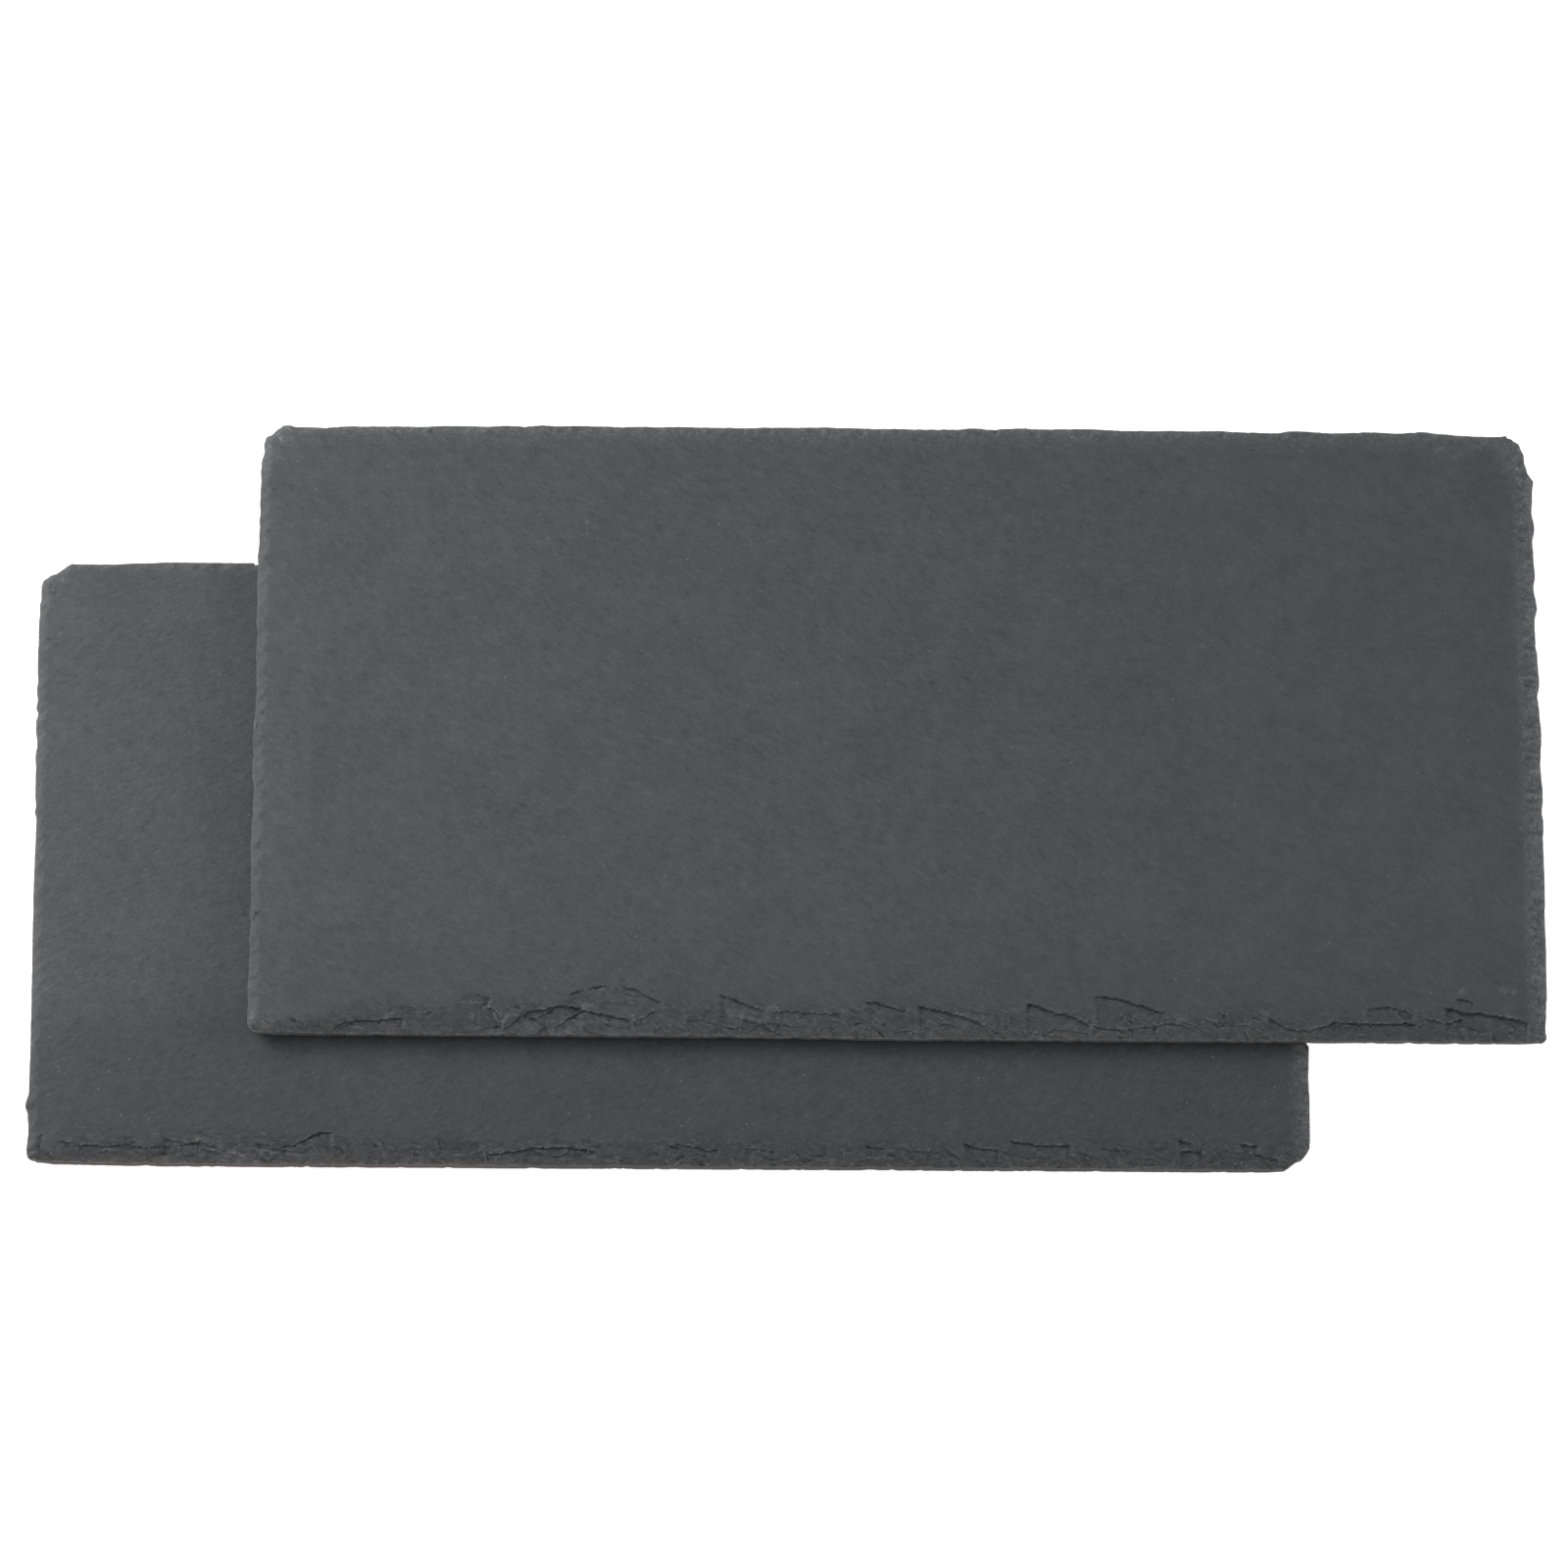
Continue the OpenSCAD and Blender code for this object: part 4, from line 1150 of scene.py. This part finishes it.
def slate_material(board):
    """Split slate: mottled grey with fine streaks, light crushed edges partly painted with light, specks, painted shade
    in hollows, on flakes and near the front, and a rougher broken rim.
    """
    sizes, finish = settings().boards, FINISHES[board]
    stone, broken_stone, crushed_and_lit_stone, dust = (
        tuple(hue) for hue in (sizes.colour, sizes.broken_colour, sizes.crushed_and_lit_colour, sizes.dust_colour)
    )
    material, surface, place = new_material(f"Split slate, {board} board")
    spot = place.moved(Location=finish["shift"])
    streak_spot = spot.moved("TEXTURE", Rotation=(0, 0, finish["turn"]), Scale=(2.4, 1, 1))
    axes = node(place.tree, "ShaderNodeSeparateXYZ", {"Vector": place}).outputs
    x, y = Flow(axes["X"]), Flow(axes["Y"])

    # Each board is paler along its left edge and darker along its front with painted shade, and the upper one is calmer
    # on the right
    low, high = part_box(f"{board}_slate")
    paler_left = x.ramp(low.x + 0.018, low.x)
    calm = x.ramp((low.x + high.x) / 2, high.x - 0.03) * finish["calm"]
    # Painted shade darkens the face near the front
    shade, far, near = finish["painted_front_shade"]
    painted_shade = y.ramp(low.y + far, low.y + near) * shade

    wear_and_shading = group_outputs(place.tree, "Edge wear", edge_wear_and_shading_group, {"Place": spot})
    crushed, flaked = wear_and_shading["Crushed"], wear_and_shading["Flaked"]
    grain_inputs = {
        "Place": spot,
        "Streak place": streak_spot,
        "Mottle": 0.36,
        "Grain": finish["coarseness"] - calm,
        "Streaks": finish["streaks"],
        "Scarps": finish["scarps"],
        "Speck share": 0.05 + paler_left * 0.22 + crushed * 0.7 + flaked * 0.14,
        "Speck clusters": 0.1 + y.ramp(low.y + 0.03, low.y + 0.01) * 0.5,
        "Crumbs": crushed * 0.45,
    }
    grain = group_outputs(place.tree, "Riven grain", riven_grain_group, grain_inputs)
    layers = spot.moved(Scale=(0.12, 0.12, 1.0)).noise(3600.0, 2.0)

    tone = grain["Tone"] * (1.0 + layers.swing(0.5) * wear_and_shading["Broken"]) * (1.0 + paler_left * 0.1)
    # Flaked stone is darker, partly as broken stone and partly as painted shade
    tone = tone * (1.0 - painted_shade) * (1.0 - flaked * 0.13)
    # Crushed edges are paler, partly as crushed stone and partly as painted light
    tint_here = mix(crushed * 0.52, mix(wear_and_shading["Broken"], stone, broken_stone), crushed_and_lit_stone)
    # Worn arrises take the dust's colour, partly as real wear and partly as a painted highlight
    worn = mix(wear_and_shading["Light"] * 0.52, mix(1.0, tint_here, tone, "MULTIPLY"), dust)
    specked = mix(grain["Specks"] * (0.3 + crushed * 0.5), worn, dust)
    # Painted shade darkens the hollows and the broken rim's wall
    feed(surface["Base Color"], mix(1.0, specked, 1.0 - wear_and_shading["Dark"] * 0.7, "MULTIPLY"))
    feed(surface["Roughness"], sizes.roughness + spot.noise(420.0, 3.0).swing(0.16))
    feed(surface["Specular IOR Level"], 0.35)
    raise_surface(surface, grain["Height"], 1.0, MM)
    return material


def foam_material():
    """Closed-cell foam: near black, with fine open cells on the cut wall."""
    material, surface, place = new_material("Black foam")
    distance, _ = place.cells(3800.0)
    tone = 0.8 + (distance * 0.5 + place.noise(500.0, 3.0).swing(0.8))
    feed(surface["Base Color"], mix(1.0, tuple(settings().feet.colour), tone, "MULTIPLY"))
    feed(surface["Roughness"], 0.85)
    feed(surface["Specular IOR Level"], 0.3)
    raise_surface(surface, distance, 0.6, 0.00008)
    return material


def adhesive_material():
    """Yellowish acrylic adhesive with a fine unevenness."""
    material, surface, place = new_material("Acrylic adhesive")
    streaks = place.noise(350.0, 3.0)
    feed(surface["Base Color"], mix(1.0, tuple(settings().feet.adhesive_colour), 1.0 + streaks.swing(0.2), "MULTIPLY"))
    feed(surface["Roughness"], 0.4)
    raise_surface(surface, streaks, 0.5, 0.00005)
    return material


def floor_material():
    """White floor: it takes the object's shadow, and glows to white where the camera or a reflection sees it."""
    material = bpy.data.materials.new("White floor")
    material.use_nodes = True
    tree = material.node_tree
    surface = tree.nodes["Principled BSDF"].inputs
    feed(surface["Base Color"], tuple(settings().studio.floor_colour))
    feed(surface["Roughness"], 0.9)
    feed(surface["Specular IOR Level"], 0.1)
    glow = node(tree, "ShaderNodeEmission", {"Strength": seen_by(tree, "Is Camera Ray", "Is Glossy Ray") * FLOOR_GLOW})
    shaders = {0: Flow(tree.nodes["Principled BSDF"].outputs["BSDF"]), 1: Flow(glow.outputs["Emission"])}
    both = node(tree, "ShaderNodeAddShader", shaders)
    feed(tree.nodes["Material Output"].inputs["Surface"], Flow(both.outputs["Shader"]))
    return material


def seen_by(tree, *rays):
    """1 for the two kinds of rays named, and 0 for all others."""
    path = node(tree, "ShaderNodeLightPath")
    first, second = (Flow(path.outputs[ray]) for ray in rays)
    return first.larger(second)


def give(piece, material):
    piece.data.materials.clear()
    piece.data.materials.append(material)


class SLATE_OT_dress_boards(bpy.types.Operator):
    """Model both slates with their split faces and hand-dressed edges"""

    bl_idname = "slate.dress_boards"
    bl_label = "Dress the slates"

    def execute(self, context):
        for board in BOARDS:
            piece = dressed_slate(board)
            give(piece, slate_material(board))
            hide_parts(f"{board}_slate")
            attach(piece, f"{board}_board")
        return {"FINISHED"}


def foam_foot():
    """Models one foot at the origin: a die-cut disc with a rounded sole and a slightly waisted wall."""
    feet = settings().feet
    low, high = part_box("lower_foot_front_left")
    radius, height = (high.x - low.x) / 2, high.z - low.z
    deselect_all()
    bpy.ops.mesh.primitive_cylinder_add(vertices=64, radius=radius, depth=height, location=(0, 0, height / 2))
    foot = bpy.context.object
    foot.name = "foam_foot"
    bpy.ops.object.transform_apply(location=True)
    bpy.ops.object.mode_set(mode="EDIT")
    pick(foot.data, "faces", lambda face: face.normal.z < -0.9)
    bpy.ops.mesh.bevel(offset=feet.rounding, segments=4, affect="EDGES")
    pick(foot.data, "edges", lambda edge: abs(edge.verts[0].co.z - edge.verts[1].co.z) > height / 2)
    bpy.ops.mesh.subdivide(number_cuts=3)
    shell = bmesh.from_edit_mesh(foot.data)
    for vert in shell.verts:
        share = (vert.co.z - feet.rounding) / (height - feet.rounding)
        if 0.02 < share < 0.98:
            outward = Vector((vert.co.x, vert.co.y, 0)).normalized()
            vert.co -= outward * feet.waist * math.sin(math.pi * share)
    bmesh.update_edit_mesh(foot.data)
    pick(foot.data, "faces", lambda face: abs(face.normal.z) > 0.9 and face.calc_area() > radius * radius)
    bpy.ops.mesh.inset(thickness=radius * 0.3)
    bpy.ops.object.mode_set(mode="OBJECT")
    bpy.ops.object.shade_smooth_by_angle(angle=math.radians(40))
    return foot


class SLATE_OT_stick_feet(bpy.types.Operator):
    """Model one foam foot, and stick a copy of it under every corner"""

    bl_idname = "slate.stick_feet"
    bl_label = "Stick on the feet"

    def execute(self, context):
        foot = foam_foot()
        give(foot, foam_material())
        for board in BOARDS:
            for corner in CORNERS:
                name = f"{board}_foot_{corner}"
                low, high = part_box(name)
                piece = foot.copy()
                piece.data = foot.data.copy()
                piece.name = piece.data.name = f"{name}_foam"
                context.scene.collection.objects.link(piece)
                piece.data.transform(Matrix.Translation(((low.x + high.x) / 2, (low.y + high.y) / 2, low.z)))
                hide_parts(name)
                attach(piece, f"{board}_board")
        bpy.data.objects.remove(foot)
        return {"FINISHED"}


class SLATE_OT_lay_adhesive(bpy.types.Operator):
    """Finish the adhesive disc of every foot"""

    bl_idname = "slate.lay_adhesive"
    bl_label = "Lay the adhesive"

    def execute(self, context):
        finish = adhesive_material()
        for name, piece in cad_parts.items():
            if "_adhesive_" in name:
                give(piece, finish)
        return {"FINISHED"}


def lay_floor():
    """Lays the white floor."""
    deselect_all()
    bpy.ops.mesh.primitive_plane_add(size=FLOOR_SIZE)
    floor = bpy.context.object
    floor.name = "studio_floor"
    give(floor, floor_material())


def light_room(scene):
    """Fills the studio with even light, and shows it white to the camera."""
    sky = settings().studio.sky
    scene.world = bpy.data.worlds.new("Studio room")
    scene.world.use_nodes = True
    tree = scene.world.node_tree
    background = tree.nodes["Background"].inputs
    feed(background["Strength"], sky + seen_by(tree, "Is Camera Ray", "Is Transmission Ray") * (1.0 - sky))
    feed(background["Color"], (1, 1, 1))


def hang_lamp(name, place, size, power):
    """Hangs a rectangular lamp that looks at the boards."""
    deselect_all()
    bpy.ops.object.light_add(type="AREA", location=place)
    lamp = bpy.context.object
    lamp.name = name
    lamp.data.shape = "RECTANGLE"
    lamp.data.size, lamp.data.size_y = size
    lamp.data.energy = power
    lamp.rotation_mode = "QUATERNION"
    lamp.rotation_quaternion = (Vector(place) - Vector(LAMP_AIM)).to_track_quat("Z", "Y")


def place_camera(scene):
    """Sets up the camera that was fitted to the photograph."""
    place, right, up, back = camera_axes()
    bpy.ops.object.camera_add(location=place)
    camera = bpy.context.object
    camera.name = "photograph_camera"
    camera.rotation_mode = "QUATERNION"
    camera.rotation_quaternion = Matrix((right, up, back)).transposed().to_quaternion()
    camera.data.sensor_width = SENSOR
    camera.data.lens = settings().studio.lens * SENSOR / PHOTO_SIZE
    camera.data.clip_start, camera.data.clip_end = 0.05, 20
    scene.camera = camera


class SLATE_OT_set_studio(bpy.types.Operator):
    """Set the floor, the lamps, the room and the photograph's camera"""

    bl_idname = "slate.set_studio"
    bl_label = "Set the studio"

    def execute(self, context):
        lay_floor()
        light_room(context.scene)
        for name, (place, size, power) in LAMPS.items():
            hang_lamp(name, place, size, getattr(settings().studio, power))
        place_camera(context.scene)
        context.scene.view_settings.view_transform = "Standard"
        return {"FINISHED"}


class SLATE_PT_boards(bpy.types.Panel):
    """The boards' sizes and finishes, and the steps that make them"""

    bl_idname = "SLATE_PT_boards"
    bl_label = "Slate boards"
    bl_space_type = "VIEW_3D"
    bl_region_type = "UI"
    bl_category = "Slate boards"

    def draw(self, context):
        layout = self.layout
        held = context.scene.slate_studio
        for title, group, operators in (
            ("Slates", held.boards, (SLATE_OT_dress_boards,)),
            ("Feet", held.feet, (SLATE_OT_stick_feet, SLATE_OT_lay_adhesive)),
            ("Studio", held.studio, (SLATE_OT_set_studio,)),
        ):
            box = layout.box()
            box.label(text=title)
            for name in group.__annotations__:
                box.prop(group, name)
            for operator in operators:
                box.operator(operator.bl_idname)


CLASSES = (
    SlateBoardSettings,
    FoamFootSettings,
    StudioSettings,
    SlateStudio,
    SLATE_OT_dress_boards,
    SLATE_OT_stick_feet,
    SLATE_OT_lay_adhesive,
    SLATE_OT_set_studio,
    SLATE_PT_boards,
)


def register():
    for made in CLASSES:
        bpy.utils.register_class(made)
    bpy.types.Scene.slate_studio = PointerProperty(type=SlateStudio)


def unregister():
    del bpy.types.Scene.slate_studio
    for made in reversed(CLASSES):
        bpy.utils.unregister_class(made)


def main():
    register()
    bpy.ops.slate.dress_boards()
    bpy.ops.slate.stick_feet()
    bpy.ops.slate.lay_adhesive()
    bpy.ops.slate.set_studio()
    deselect_all()


if __name__ == "__main__":
    main()
